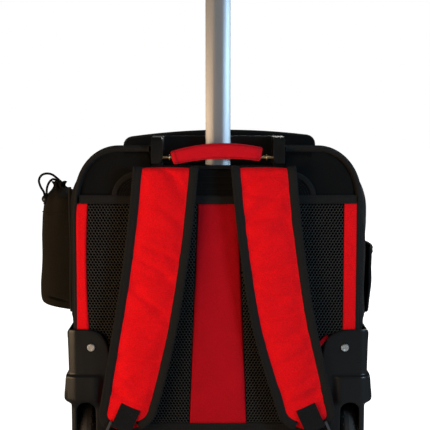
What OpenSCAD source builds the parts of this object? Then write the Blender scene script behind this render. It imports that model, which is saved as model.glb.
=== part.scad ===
// Wheeled backpack bag for one bowling ball, with a two-stage pull-up pole.
// +Z is up, the shoulder straps face -Y, the front pocket faces +Y.
// The origin is on the floor, at the centre of the front stand's pad.

/* [Body] */
// Width of the fabric body
body_w = 357; // [352:1:362]
// Height of the body's top above the floor
body_top = 403; // [401:1:404]
// Height of the body's underside above the floor
base_z = 62; // [61:1:63]
// Depth from the back panel's outer face to the front rim
body_d = 235; // [233:1:238]
// Thickness of the foam-lined wall
wall = 5; // [4:0.5:5.5]
// Radius of the body's two top corners
top_r = 60; // [54:1:62]
// Depth of the lid pan in front of the rim
lid_d = 33; // [31:1:34]
// Depth of the pocket on the lid
pocket_d = 25; // [20:1:25]

/* [Ball] */
// Diameter of the ball that the bag carries
ball_d = 216; // [216:0.5:217]

/* [Pole] */
// Width of the lower pull-up stage
pole_w = 30; // [29:0.5:31]
// Depth of the lower pull-up stage, front to back
pole_d = 18; // [17:0.5:19]
// Wall of the two sliding tubes
tube_wall = 1.2; // [1:0.1:1.3]
// Length of each tube
tube_len = 300; // [296:1:302]

/* [Wheels] */
// Diameter of a wheel over its tyre
wheel_d = 100; // [98:1:101]
// Width of the tyre
wheel_w = 19; // [17:1:19]
// Diameter of the axle bolt
axle_d = 8; // [7:0.5:8]

/* [Straps] */
// Thickness of a padded shoulder strap
strap_t = 11; // [9:0.5:11]
// Width of the webbing
web_w = 25; // [24:0.5:26]
// Width of the red part of a shoulder strap, without its binding
strap_face_w = 57; // [54:1:59]

/* [Hidden] */

gap = 0.5;                        // space left between neighbouring pieces
far = 60;                         // how far a cutter runs past the shape it cuts
rim_y = 30;                       // plane where the lid meets the body
back_y = rim_y - body_d;          // outer face of the back panel
edge_inset = 8;                   // how much the back edge is drawn in at each side
edge_low = 4;                     // and at the bottom
edge_top = 413;                   // the stiff back edge stands higher than the fabric body
edge_r = 52;
frame_y = back_y + 25;            // where the back edge ends and the body proper starts
bottom_r = 20;
inner_x = body_w / 2 - edge_inset - wall;
floor_z = base_z + wall;          // top of the fabric floor

// back panel layers, counted forward from the back panel's outer face
pad_t = 5;
yoke_y = back_y + pad_t - gap;
yoke_t = 3.5;
board_y = back_y + 9;
board_t = 3;
band_z = 345;
band_h = 10;
seam_z = 66;
seam_h = 9;
strip_x_left = 156;
strip_x_right = 151;

// pole: the tubes share one octagonal section, offset inwards by t
pole_y = back_y + 26;
bevel_x = 8.5;
bevel_y = 5;
slide_gap = 0.5;
outer_t = 1.5;
inner_in = tube_wall + 1.3;       // offset of the inner tube's outside
tube_z = 86;
floor_top = 390;                  // top of the tray's floor
mid_z = 346;
collar_h = 12;
collar_z = mid_z + tube_len - 8;
inner_z = mid_z + tube_len - 34;
grip_z = inner_z + tube_len - 20;
grip_h = 32;
lock_z = inner_z + 12;
upper_travel = grip_z - (collar_z + collar_h) - 1;

// handle tray and grab handle
tray_x = 79;
ear_w = 13.5;
ear_round = 9;
tray_top = 424;
tray_front = back_y + 45;
handle_z = 400;
handle_y = back_y - 3;
handle_half = 55;

// wheels and their housings, given for the right-hand side
wheel_x = 160;
well_gap = 2;
axle_z = wheel_d / 2;
axle_y = back_y + 42;
well_r = wheel_d / 2 + 6;
house_x0 = 128;
house_x1 = 178;
guard_x = body_w / 2 + gap;
guard_t = 3.2;
guard_top = 193;
bulge_z = 102;                    // underside of the bulge beside the wheel
mouth_z = 103;                    // top of the well's arched mouth
step_z = 138;
house_back = back_y - 6;
house_front = axle_y + 60;
screw_z = 171;
screw_x = 153;

// lid
lid_z0 = base_z + 6;
lid_y1 = rim_y + lid_d;
pocket_w = 272;
pocket_rise = 8;                  // how far its top edge bows up at the middle

// side pockets
bottle_y = -125;
bottle_half = 47;
bottle_levels = [[206, 39], [238, 44], [300, 41], [362, 27]]; // heights, and how far it stands out at each
cord_r = 8.5;

// shoulder straps: the pair hangs a little to the left
strap_shift = -4;
binding_w = 10;
strap_half = strap_face_w / 2 + binding_w;
strap_top = 389.5;
strap_end = 72;
strap_y0 = back_y - 17;
fold_r = 8;
lock_tilt = 16;                   // lean of the ladder lock at the strap's end
bar_z = 75;                       // height of its top bar
bar_y = strap_y0 - 3.6;
web_t = 1.6;

// stand
stand_x = 100;
stand_half_y = 11;
pad_h = 6;
leg_x = 70;

function arc(cx, cz, r, a0, a1, n = 8) =
    [for (i = [0:n]) let (a = a0 + (a1 - a0) * i / n) [cx + r * cos(a), cz + r * sin(a)]];

function rounded(w, z0, z1, rt, rb) = concat(
    arc(w / 2 - rt, z1 - rt, rt, 0, 90),
    arc(rt - w / 2, z1 - rt, rt, 90, 180),
    arc(rb - w / 2, z0 + rb, rb, 180, 270),
    arc(w / 2 - rb, z0 + rb, rb, 270, 360));

function outline(inset) =
    rounded(body_w - 2 * inset, base_z + inset, body_top - inset, top_r - inset, bottom_r - inset);

// the same at the back edge, which is drawn in
function back_outline(inset) =
    rounded(2 * (body_w / 2 - edge_inset - inset), base_z + edge_low + inset, edge_top - inset,
            edge_r - inset, bottom_r - inset);

// octagon of the pole, moved inwards by t all round
function pole_section(t) =
    let (l = norm([bevel_x, bevel_y]),
         w = pole_w / 2 - t,
         d = pole_d / 2 - t,
         bx = bevel_x - t * (1 - (l - bevel_x) / bevel_y),
         by = bevel_y - t * (1 - (l - bevel_y) / bevel_x))
    [[w, d - by], [w - bx, d], [bx - w, d], [-w, d - by],
     [-w, by - d], [bx - w, -d], [w - bx, -d], [w, by - d]];

// extrudes a shape drawn in x and z along y, and one drawn in y and z along x
module along_y(y0, y1) translate([0, y1, 0]) rotate([90, 0, 0]) linear_extrude(y1 - y0) children();
module along_x(x0, x1) translate([x0, 0, 0]) rotate([90, 0, 90]) linear_extrude(x1 - x0) children();
module box(lo, hi) translate(lo) cube(hi - lo);
module sided(side) {
    if (side < 0) mirror([1, 0, 0]) children();
    else children();
}
module tube_prism(t, z0, z1) translate([0, pole_y, z0]) linear_extrude(z1 - z0) polygon(pole_section(t));
module rod_y(x, z, r, y0, y1) translate([x, y1, z]) rotate([90, 0, 0]) cylinder(r = r, h = y1 - y0, $fn = 32);
module rod_x(y, z, r, x0, x1) translate([x0, y, z]) rotate([0, 90, 0]) cylinder(r = r, h = x1 - x0, $fn = 32);

// room for the wheel housings in the rear lower corners
module housing_room(clear = gap) {
    for (side = [-1, 1])
        sided(side)
            box([house_x0 - clear, back_y - far, 0], [body_w, house_front + clear, step_z + 1]);
}
module tray_room()
    box([-tray_x - 1, back_y - far, floor_top - 5], [tray_x + 1, tray_front + 1, body_top + far]);
module screw_room(r = 2.4) for (side = [-1, 1]) rod_y(side * screw_x, screw_z, r, back_y - far, board_y + 8);
module side_screw_room()
    for (side = [-1, 1]) sided(side) rod_x(axle_y - 8, screw_z, 2.4, guard_x - 20, guard_x + 1);
module stand_screw_places()
    for (x = [-leg_x - 16, 16 - leg_x, leg_x - 16, leg_x + 16])
        translate([x, 0, 0]) children();
module stand_screw_room()
    stand_screw_places() translate([0, 0, base_z - 5]) cylinder(r = 2.3, h = 25, $fn = 24);

// ---- fabric body ----
module body_shell() {
    color("#17171a") difference() {
        union() {
            along_y(frame_y, rim_y) polygon(outline(0));
            along_y(back_y + pad_t, frame_y) polygon(back_outline(0));
        }
        along_y(back_y, frame_y - wall) polygon(back_outline(wall));
        along_y(frame_y - wall - 1, frame_y + 2)
            intersection() {
                polygon(back_outline(wall));
                polygon(outline(wall));
            }
        along_y(frame_y + 1, rim_y + 1) polygon(outline(wall));
        housing_room();
        tray_room();
        stand_screw_room();
        side_screw_room();
    }
}
module back_board() {
    color("#202022") difference() {
        along_y(board_y, board_y + board_t) polygon(back_outline(wall + gap));
        housing_room();
        tray_room();
        screw_room();
    }
}
// distance of a side strip's inner edge from the middle
function side_strip_x(side) = side < 0 ? strip_x_left : strip_x_right;

module mesh_pads() {
    strip_top = 24;
    strip_bottom = 35;
    color("#1c1c1f") difference() {
        for (side = [-1, 1])
            sided(side)
                along_y(back_y - 1, back_y + pad_t - 1)
                    polygon([
                        [strip_top, band_z - gap],
                        [side_strip_x(side) - gap, band_z - gap],
                        [side_strip_x(side) - gap, seam_z + seam_h + gap],
                        [strip_bottom, seam_z + seam_h + gap]]);
        housing_room();
        screw_room();
    }
}
module back_centre_strip() {
    color("#b01020")
        along_y(back_y, back_y + pad_t - 1)
            polygon([[-23.5, band_z - gap], [23.5, band_z - gap],
                     [34.5, seam_z + seam_h + gap], [-34.5, seam_z + seam_h + gap]]);
}
module back_side_strips() {
    color("#d41c22") difference() {
        for (side = [-1, 1])
            sided(side)
                box([side_strip_x(side), back_y, seam_z + seam_h + gap],
                    [inner_x, back_y + pad_t - 1, band_z - gap]);
        housing_room();
        screw_room();
    }
}
module panel_bindings() {
    color("#222120") {
        box([-inner_x, back_y - 2, band_z], [inner_x, back_y + pad_t - 1, band_z + band_h]);
        box([-house_x0 + 1, back_y - 1, seam_z], [house_x0 - 1, back_y + pad_t - 1, seam_z + seam_h]);
    }
}
module upper_yoke() {
    color("#1d1e20") difference() {
        intersection() {
            along_y(yoke_y, yoke_y + yoke_t) polygon(back_outline(wall + gap));
            box([-body_w, back_y, band_z - 15], [body_w, rim_y, edge_top]);
        }
        tray_room();
    }
}
module loop_patches() {
    color("#0c0c0d")
        for (side = [-1, 1])
            sided(side)
                box([tray_x + 1, yoke_y - 1.4, 377], [tray_x + 34, yoke_y - 0.2, edge_top - wall - 1]);
}
module edge_piping() {
    color("#0f0f10") difference() {
        along_y(back_y, back_y + pad_t - gap) polygon(back_outline(0));
        along_y(back_y - 1, back_y + pad_t) polygon(back_outline(wall - gap));
        tray_room();
        box([-body_w, back_y - far, 0], [body_w, back_y + far, guard_top + 1]);
    }
}

// ---- shoulder straps ----
module strap_place(side) translate([strap_shift, 0, 0]) sided(side) children();

// middle of a strap: its distance from the pair's middle plane at height z
function strap_mid(z) =
    let (u = (strap_top - z) / (strap_top - 70))
    57.5 + 26 * u + 27 * u * u;

// half width of a strap at height z: it narrows, then rounds off at the end
function strap_half_at(z) =
    let (narrow = z > 200 ? 0 : 4 * pow((200 - z) / 110, 1.6),
         tip = z > strap_end + 22 ? 1 : sqrt(1 - pow((strap_end + 22 - z) / 24, 2)))
    (strap_half - narrow) * tip;

module strap_outline(z0, z1) {
    zs = concat(
        [for (z = [z0:3:min(z0 + 27, z1)]) z],
        [for (i = [1:9]) min(z0 + 27, z1) + (z1 - min(z0 + 27, z1)) * i / 9]);
    n = len(zs) - 1;
    polygon(concat(
        [for (z = zs) [strap_mid(z) + strap_half_at(z), z]],
        [for (i = [n:-1:0]) [strap_mid(zs[i]) - strap_half_at(zs[i]), zs[i]]]));
}
module shoulder_strap(side) {
    root_z = band_z + band_h + 1;
    fold_y = back_y - 1 - fold_r;
    fold_z = strap_top - fold_r;
    color("#e01b22") strap_place(side) {
        along_y(strap_y0, strap_y0 + strap_t) strap_outline(strap_end, fold_z);
        // the fold over the top, and the root that goes down behind the band
        intersection() {
            along_y(strap_y0, back_y - 1) strap_outline(root_z, strap_top);
            along_x(0, body_w)
                polygon(concat(
                    arc(fold_y, fold_z, fold_r, 0, 180),
                    [[fold_y - fold_r, fold_z - 2], [back_y - 7, fold_z - 2],
                     [back_y - 7, root_z], [back_y - 1, root_z]]));
        }
    }
}
module at_lock(side)
    strap_place(side)
        translate([strap_mid(bar_z), bar_y, bar_z]) rotate([0, -lock_tilt, 0]) children();

// webbing sewn to the strap's end and looped round the ladder lock's top bar
module strap_tab(side) {
    loop_r = 3.2;
    bar_clear = loop_r - web_t;
    color("#141416") at_lock(side)
        along_x(-web_w / 2, web_w / 2)
            difference() {
                polygon(concat(
                    arc(0, 0, loop_r, 180, 360),
                    [[loop_r, 28], [0, 28], [0, 9], [-loop_r, 2]]));
                polygon(concat(arc(0, 0, bar_clear, 180, 360), [[bar_clear, 2], [1.4, 6], [-bar_clear, 1]]));
            }
}
module ladder_lock(side) {
    bar_r = 1.5;
    slot = web_w / 2 + 0.9;
    color("#101012") at_lock(side) {
        for (s = [-1, 1])
            sided(s) box([slot, -2.2, -22.5], [slot + 3, 2.4, 2.5]);
        for (z = [0, -11, -20])
            rod_x(0, z, bar_r, -slot - 0.1, slot + 0.1);
    }
}
// strip of thickness t along a path of points
function unit(v) = v / norm(v);
function ribbon(path, t) =
    let (n = len(path) - 1,
         dirs = [for (i = [0:n]) unit(path[min(i + 1, n)] - path[max(i - 1, 0)])],
         side = [for (d = dirs) [-d[1], d[0]] * t / 2])
    concat([for (i = [0:n]) path[i] + side[i]], [for (i = [n:-1:0]) path[i] - side[i]]);

// adjusting webbing: tail in front, over the middle bar, down behind and back towards the bag
module lower_webbing(side) {
    out = 1.5 + 0.4 + web_t / 2;
    color("#141416") at_lock(side)
        along_x(-web_w / 2, web_w / 2)
            polygon(ribbon([
                [-out, -52], [-out, -9.5], [-out + 0.8, -7.6], [0, -7], [out - 0.8, -7.6], [out, -9.5],
                [out, -24], [out + 2, -30], [out + 9, -34]], web_t));
}

// ---- grab handle and tray ----
module grab_handle() {
    rise = 6;
    half_h = 9;
    r = (handle_half * handle_half + rise * rise) / (2 * rise);
    a = asin(handle_half / r);
    cz = handle_z + rise - r;
    color("#cc1420") difference() {
        along_y(handle_y - 4, handle_y + 4)
            polygon(concat(
                arc(0, cz, r + half_h, 90 - a, 90 + a, 12),
                arc(0, cz, r - half_h, 90 + a, 90 - a, 12)));
        for (side = [-1, 1])
            sided(side) rod_x(handle_y, handle_z, 1.6, handle_half - 12, handle_half + 12);
    }
}
module handle_pins() {
    color("#b9a36a")
        for (side = [-1, 1])
            sided(side) rod_x(handle_y, handle_z, 1.52, handle_half - 11.5, tray_x - 5);
}
// ear of the tray: its front face has a large round at the lower inside corner
module tray_ear() {
    ear_x = tray_x - ear_w;
    face_y = back_y - 10;
    tip = 3;
    intersection() {
        along_x(ear_x, tray_x)
            polygon([
                [tray_front, floor_top - 4], [back_y + 2, floor_top - 4], [face_y + 1, floor_top + 3],
                [face_y, tray_top - 5], [face_y + tip, tray_top], [tray_front, tray_top]]);
        union() {
            box([ear_x, back_y + 2, floor_top - 4], [tray_x, tray_front, tray_top]);
            along_y(face_y, back_y + 2)
                polygon(concat(
                    arc(tray_x - tip, tray_top - tip, tip, 0, 90, 4),
                    arc(ear_x + tip, tray_top - tip, tip, 90, 180, 4),
                    arc(ear_x + ear_round, handle_z + 1, ear_round, 180, 270, 6),
                    [[tray_x, floor_top + 1]]));
        }
    }
}
module handle_tray() {
    ear_x = tray_x - ear_w;
    color("#19191b") difference() {
        union() {
            box([-tray_x, back_y + 2, floor_top - 4], [tray_x, tray_front, floor_top]);
            box([-tray_x, tray_front - 4, floor_top - 4], [tray_x, tray_front, tray_top]);
            for (side = [-1, 1])
                sided(side) tray_ear();
        }
        tube_prism(-0.4, floor_top - 10, floor_top + 5);
        for (side = [-1, 1])
            sided(side) rod_x(handle_y, handle_z, 1.6, ear_x - 1, tray_x - 4);
    }
}

// ---- pull-up pole ----
module pole_outer_tube() {
    color("#9a9da0") difference() {
        tube_prism(-slide_gap - outer_t, tube_z, floor_top - 4.5);
        tube_prism(-slide_gap, tube_z - 1, floor_top);
    }
}
module pole_mid_tube() {
    color("#c9cccf") difference() {
        tube_prism(0, mid_z, mid_z + tube_len);
        tube_prism(tube_wall, mid_z - 1, mid_z + tube_len + 1);
        for (z = [lock_z, lock_z - upper_travel])
            rod_y(0, z, 2.4, pole_y - 12, pole_y - 4);
    }
}
module pole_inner_tube() {
    color("#c9cccf") difference() {
        tube_prism(inner_in, inner_z, inner_z + tube_len);
        tube_prism(inner_in + tube_wall, inner_z - 1, inner_z + tube_len + 1);
        rod_y(0, lock_z, 2.4, pole_y - 12, pole_y - 3);
    }
}
module pole_collar() {
    color("#131315") difference() {
        tube_prism(-2, collar_z, collar_z + collar_h);
        tube_prism(-0.05, collar_z - 1, mid_z + tube_len + 0.05);
        tube_prism(inner_in - 0.3, collar_z, collar_z + collar_h + 1);
    }
}
module mid_tube_foot() {
    color("#26262a") tube_prism(tube_wall + 0.05, mid_z + 1, mid_z + 18);
}
module inner_tube_foot() {
    color("#26262a") difference() {
        tube_prism(inner_in + tube_wall + 0.05, inner_z + 1, inner_z + 24);
        rod_y(0, lock_z, 2.05, pole_y - 12, pole_y + 4.4);
        translate([0, pole_y, lock_z + 4]) cylinder(r = 2.3, h = 20, $fn = 24);
    }
}
module push_rod() {
    color("#8d9093")
        translate([0, pole_y, lock_z + 6])
            cylinder(r = 2, h = grip_z + 20 + 0.4 - lock_z - 6, $fn = 24);
}
module lock_pin() {
    color("#a8abae") rod_y(0, lock_z, 1.97, pole_y - 6.4, pole_y - 0.6);
}
module ring_stack(r, wire, pitch, n) {
    for (i = [0:n - 1])
        translate([0, 0, i * pitch])
            rotate_extrude($fn = 24) translate([r, 0]) circle(r = wire, $fn = 16);
    for (i = [0:n - 2])
        translate([r, 0, i * pitch]) cylinder(r = wire * 0.7, h = pitch, $fn = 16);
}
module pole_springs() {
    color("#77797c") {
        translate([0, pole_y - 0.1, lock_z])
            rotate([-90, 0, 0]) translate([0, 0, 0.4]) ring_stack(1.4, 0.35, 0.9, 4);
        translate([0, pole_y, grip_z + 14.2]) ring_stack(3.3, 0.5, 1.3, 4);
    }
}
module grip() {
    half = 58;
    color("#151517") difference() {
        union() {
            along_y(pole_y - 13, pole_y + 13)
                polygon(concat(
                    arc(half - 11, grip_z + grip_h - 13, 11, -70, 70, 6),
                    arc(0, grip_z - 168, 200, 76, 104, 10),
                    arc(11 - half, grip_z + grip_h - 13, 11, 110, 250, 6),
                    [[-24, grip_z + 5], [-20, grip_z], [20, grip_z], [24, grip_z + 5]]));
        }
        tube_prism(inner_in - 0.05, grip_z - 1, grip_z + 20);
        box([-15.4, pole_y - 6.4, grip_z + 20.5], [15.4, pole_y + 6.4, grip_z + grip_h + far]);
        translate([0, pole_y, grip_z + 10]) cylinder(r = 2.4, h = 20, $fn = 24);
    }
}
module grip_button() {
    color("#3a3b3e")
        box([-15, pole_y - 6, grip_z + 20.9], [15, pole_y + 6, grip_z + grip_h + 1.5]);
}
module pole_bracket() {
    color("#202022") difference() {
        box([-24, board_y + board_t + 0.2, base_z + edge_low + wall + 7],
            [24, pole_y + pole_d / 2 + 3.2, tube_z + 22]);
        tube_prism(-slide_gap - outer_t - 0.1, tube_z - 0.1, tube_z + 40);
    }
}

// ---- wheels ----
module housing_back_outline() {
    polygon(concat(
        [[house_x0, 42], [house_x0, 150]],
        arc(house_x0 + 30, guard_top - 26, 26, 170, 90, 8),
        arc(guard_x + guard_t - 4, guard_top - 4, 4, 90, 0, 3),
        [[guard_x + guard_t - 1.5, step_z + 4], [guard_x + guard_t + 2, step_z - 1]],
        arc(guard_x + guard_t - 3.5, bulge_z + 8, 8, 0, -90, 5),
        [[house_x1, bulge_z], [house_x1, 42]]));
}
module wheel_housing(side) {
    well_half = wheel_w / 2 + well_gap;
    side_outline = concat(
        [[back_y - far, 0], [back_y - far, 300]],
        [[house_front - 34, 300]],
        arc(house_front - 26, guard_top - 40, 26, 60, 0, 6),
        [[house_front, bulge_z + 12], [house_front, 80]],
        arc(axle_y + 18, 62, 42, 0, -50, 6),
        [[axle_y + 10, 0]]);
    color("#1b1b1d") sided(side) difference() {
        intersection() {
            along_y(house_back, house_front) housing_back_outline();
            along_x(house_x0 - 1, body_w) polygon(side_outline);
        }
        // room for the bag's corner behind the guard plates
        box([house_x0 + 3, back_y - 1.6, bulge_z + 17], [guard_x, house_front + 1, 300]);
        box([house_x0 - 1, back_y - 1.6, step_z], [guard_x, house_front + 1, 300]);
        // wheel well, open below, and its arched mouth at the back
        rod_x(axle_y, axle_z, well_r, wheel_x - well_half, wheel_x + well_half);
        box([wheel_x - well_half, house_back - 1, 0], [wheel_x + well_half, axle_y + well_r, axle_z]);
        along_y(house_back - 1, axle_y)
            polygon(concat(
                [[wheel_x - well_half, 0]],
                arc(wheel_x, mouth_z - well_half, well_half, 180, 0, 12),
                [[wheel_x + well_half, 0]]));
        rod_x(axle_y, axle_z, axle_d / 2 + 0.05, house_x0 - 1, body_w);
        rod_y(screw_x, screw_z, 2.3, house_back - 1, back_y);
        rod_x(axle_y - 8, screw_z, 2.3, guard_x - 1, body_w);
    }
}
module pan_screw() {
    // head on the +Z side of its seat
    difference() {
        union() {
            cylinder(r1 = 4.9, r2 = 4.2, h = 2.4, $fn = 32);
            translate([0, 0, -15]) cylinder(r = 2, h = 15.01, $fn = 24);
        }
        for (turn = [0, 90])
            rotate([0, 0, turn]) box([-2.6, -0.5, 1.2], [2.6, 0.5, 5]);
    }
}
module case_screws() {
    seat = 3.4;
    color("#c8c2b0") {
        for (side = [-1, 1])
            sided(side) {
                translate([screw_x, house_back, screw_z]) rotate([90, 0, 0]) pan_screw();
                translate([guard_x + guard_t, axle_y - 8, screw_z]) rotate([0, 90, 0]) pan_screw();
            }
        stand_screw_places() translate([0, 0, base_z - seat]) rotate([180, 0, 0]) pan_screw();
    }
}
module tyre(side) {
    rim = 36;
    groove = 2;
    color("#1a1816") sided(side) translate([wheel_x, axle_y, axle_z]) rotate([0, 90, 0]) {
        difference() {
            rotate_extrude($fn = 96)
                polygon([
                    [rim, -wheel_w / 2 + 1], [wheel_d / 2 - 5, -wheel_w / 2],
                    [wheel_d / 2 - 1, -wheel_w / 2 + 4],
                    [wheel_d / 2, 0], [wheel_d / 2 - 1, wheel_w / 2 - 4], [wheel_d / 2 - 5, wheel_w / 2],
                    [rim, wheel_w / 2 - 1]]);
            for (i = [0:29])
                rotate([0, 0, 12 * i])
                    for (s = [-1, 1])
                        box([wheel_d / 2 - 2.5, -1.2, s > 0 ? 4.5 : -wheel_w],
                            [wheel_d / 2 + groove, 1.2, s > 0 ? wheel_w : -4.5]);
        }
    }
}
module wheel_core(side) {
    color("#2b2b2e") sided(side) translate([wheel_x, axle_y, axle_z]) rotate([0, 90, 0])
        difference() {
            union() {
                difference() {
                    cylinder(r = 35.95, h = wheel_w - 4, center = true, $fn = 96);
                    cylinder(r = 30, h = wheel_w, center = true, $fn = 96);
                }
                cylinder(r = 14.5, h = wheel_w - 2, center = true, $fn = 64);
                for (i = [0:4])
                    rotate([0, 0, 72 * i]) translate([12, -4, -5]) cube([20, 8, 10]);
            }
            cylinder(r = 5.5, h = wheel_w + 2, center = true, $fn = 48);
            for (s = [-1, 1])
                translate([0, 0, s * (wheel_w / 2 - 4.5)])
                    cylinder(r = 11.02, h = 7.2, center = true, $fn = 48);
        }
}
module wheel_bearings(side) {
    color("#9c9fa2") sided(side) translate([wheel_x, axle_y, axle_z]) rotate([0, 90, 0])
        for (s = [-1, 1])
            translate([0, 0, s * (wheel_w / 2 - 4.5)])
                difference() {
                    cylinder(r = 11, h = 7, center = true, $fn = 48);
                    cylinder(r = axle_d / 2 + 0.05, h = 8, center = true, $fn = 48);
                }
}
module axles() {
    color("#a9abad")
        for (side = [-1, 1])
            sided(side) {
                rod_x(axle_y, axle_z, axle_d / 2, house_x0 - 4, house_x1 + 0.02);
                rod_x(axle_y, axle_z, 7, house_x1 + 0.02, house_x1 + 3.5);
                translate([house_x0 - 5, axle_y, axle_z])
                    rotate([0, 90, 0]) cylinder(r = 6.5, h = 4.9, $fn = 6);
            }
}

// ---- base and stand ----
module base_board() {
    color("#1a1a1c") difference() {
        box([-inner_x + 6, back_y + 27, floor_z + 0.2], [inner_x - 6, rim_y - 4, floor_z + board_t]);
        housing_room();
        stand_screw_room();
        box([-25, back_y, 0], [25, pole_y + pole_d / 2 + 4, body_top]);
    }
}
module front_stand() {
    color("#161618") difference() {
        union() {
            box([-stand_x, -stand_half_y, pad_h + 0.1], [stand_x, stand_half_y, pad_h + 11]);
            for (side = [-1, 1])
                sided(side) {
                    along_y(-stand_half_y + 2, stand_half_y - 2)
                        polygon([[leg_x - 22, pad_h + 10], [leg_x + 22, pad_h + 10],
                                 [leg_x + 9, base_z - 3], [leg_x - 9, base_z - 3]]);
                    box([leg_x - 24, -stand_half_y, base_z - 3.4], [leg_x + 24, stand_half_y, base_z - 0.1]);
                }
        }
        stand_screw_room();
    }
}
module stand_pad() {
    color("#0e0e0f") box([-stand_x, -stand_half_y, 0], [stand_x, stand_half_y, pad_h]);
}

// ---- lid ----
module lid_outline(inset) {
    polygon(rounded(body_w - 2 - 2 * inset, lid_z0 + inset, body_top - 1 - inset, top_r - inset, 14 - inset));
}
module lid_panel() {
    color("#17171a") difference() {
        along_y(rim_y + gap, lid_y1) lid_outline(0);
        along_y(rim_y, lid_y1 - wall) lid_outline(wall);
    }
}
module lid_hinge() {
    color("#101011") box([-150, rim_y + 0.1, base_z + 1], [150, rim_y + 0.9, lid_z0 - 0.6]);
}
function pocket_outline(inset) =
    let (w = pocket_w / 2 - inset,
         r_top = 12 - inset,
         r_low = 26 - inset,
         high = tray_top - pocket_rise - inset,
         low = 92 + inset,
         half = w - r_top,
         r = (half * half + pocket_rise * pocket_rise) / (2 * pocket_rise),
         a = asin(half / r))
    concat(
        arc(w - r_top, high - r_top, r_top, 0, 90),
        [for (i = [1:11])
            let (b = 90 - a + 2 * a * i / 12)
            [r * cos(b), high + pocket_rise - r + r * sin(b)]],
        arc(r_top - w, high - r_top, r_top, 90, 180),
        arc(r_low - w, low + r_low, r_low, 180, 270),
        arc(w - r_low, low + r_low, r_low, 270, 360));
module front_pocket() {
    wall_p = 2.5;
    color("#1d1d20") difference() {
        along_y(lid_y1 + 0.2, lid_y1 + pocket_d) polygon(pocket_outline(0));
        along_y(lid_y1 + wall_p, lid_y1 + pocket_d - wall_p) polygon(pocket_outline(wall_p));
        box([-pocket_w / 2 + 22, lid_y1 + pocket_d - wall_p - 1, tray_top - 49],
            [pocket_w / 2 - 22, lid_y1 + pocket_d + 1, tray_top - 47]);
    }
}
module main_zipper_body() {
    color("#0b0b0c") difference() {
        along_y(rim_y - 9, rim_y - 0.2) polygon(outline(-1.4));
        along_y(rim_y - 10, rim_y + 1) polygon(outline(-0.1));
        box([-body_w, rim_y - 20, 0], [body_w, rim_y + 20, base_z + 30]);
    }
}
module main_zipper_lid() {
    color("#0b0b0c") difference() {
        along_y(rim_y + gap + 0.2, rim_y + 9) lid_outline(-1.4);
        along_y(rim_y, rim_y + 10) lid_outline(-0.1);
        box([-body_w, rim_y - 20, 0], [body_w, rim_y + 20, base_z + 30]);
    }
}
module main_slider(side) {
    color("#2a2a2d") sided(side) translate([22, rim_y, body_top + 2.2]) {
        box([-5, -4, 0], [5, 4, 3]);
        box([-2, -1, 3], [2, 3, 4.5]);
        box([-3, 0, 4.5], [3, 26, 6]);
    }
}
module pocket_slider() {
    color("#2a2a2d") translate([60, lid_y1 + pocket_d + 0.4, tray_top - 48]) {
        box([-5, 0, -3], [5, 3, 3]);
        box([-2, 3, -20], [2, 4.6, 1]);
    }
}

// ---- side pockets ----
// half oval that stands out from the body's side, as deep as out
function half_oval(out, half, n = 16) =
    [for (i = [0:n]) let (a = 180 * i / n) [-out * sin(a), half * cos(a)]];
module pocket_solid(inset, rise) {
    slice = 0.2;
    top = bottle_levels[len(bottle_levels) - 1][0];
    hull() {
        for (level = bottle_levels)
            translate([-guard_x, bottle_y, level[0] == top ? top - slice + rise : level[0]])
                linear_extrude(slice) polygon(half_oval(level[1] - inset, bottle_half - inset));
    }
}
module bottle_pocket() {
    w = 2.4;
    low = bottle_levels[0][0];
    color("#1b1a18") difference() {
        pocket_solid(0, 0);
        intersection() {
            pocket_solid(w, 2);
            box([-body_w, back_y, low + w], [-guard_x - w, rim_y, body_top]);
        }
    }
}
// cord of the pocket's hem: a loop whose two ends run down through the stopper to a knot
cord_leg = 19.5;
stop_drop = 13.5;
module at_cord() translate([-guard_x - 34, bottle_y - 33, 368]) children();
module drawcord() {
    r = 1.3;
    leg_r = 1.15;
    leg_dip = 0.4;
    apart = 1.4;
    color("#0d0d0e") at_cord() {
        rotate([90, 0, 0]) rotate_extrude($fn = 64) translate([cord_r, 0]) circle(r = r, $fn = 16);
        for (s = [-apart, apart])
            translate([s, 0, -cord_r - cord_leg]) cylinder(r = leg_r, h = cord_leg + leg_dip, $fn = 16);
        translate([0, 0, -cord_r - cord_leg]) rotate([90, 0, 0]) sphere(r = 2.95, $fn = 24);
        translate([cord_r, 0, 0]) sphere(r = 1.9, $fn = 24);
        translate([cord_r, 0, 0]) rotate([0, 118, 0]) cylinder(r = 1.45, h = 7, $fn = 16);
    }
}
module cord_stopper() {
    color("#131314") at_cord() translate([0, 0, -cord_r - stop_drop])
        difference() {
            sphere(r = 5, $fn = 32);
            cylinder(r = 2.75, h = 14, center = true, $fn = 24);
        }
}
module phone_pocket() {
    color("#161618")
        along_y(-150, -78)
            polygon([[guard_x, 213], [guard_x + 9, 215], [guard_x + 12, 226], [guard_x + 14, 256],
                     [guard_x + 14, 296], [guard_x, 296]]);
}

// ---- inside ----
module ball_cup() {
    ball_r = ball_d / 2 + 2;
    low = floor_z + board_t + 0.2;
    cup_h = 34;
    ball_y = (back_y + 43 + lid_y1 - wall) / 2;
    color("#3b3b40") difference() {
        box([-118, back_y + 44, low], [118, rim_y - 6, low + cup_h]);
        translate([0, ball_y, low + 2 + ball_r]) sphere(r = ball_r, $fn = 96);
        stand_screw_room();
    }
}
module shelf() {
    color("#26262a")
        box([-body_w / 2 + wall + 1, back_y + 44, 297], [body_w / 2 - wall - 1, rim_y - 2, 300]);
}
module back_lining() {
    color("#34343a") difference() {
        along_y(back_y + 40.5, back_y + 42.5) polygon(outline(wall + board_t));
        housing_room();
        box([-tray_x - 1, back_y, floor_top - 6], [tray_x + 1, rim_y, body_top]);
        box([-25, back_y, 0], [25, pole_y + pole_d / 2 + 4, tube_z + 23]);
    }
}

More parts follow.
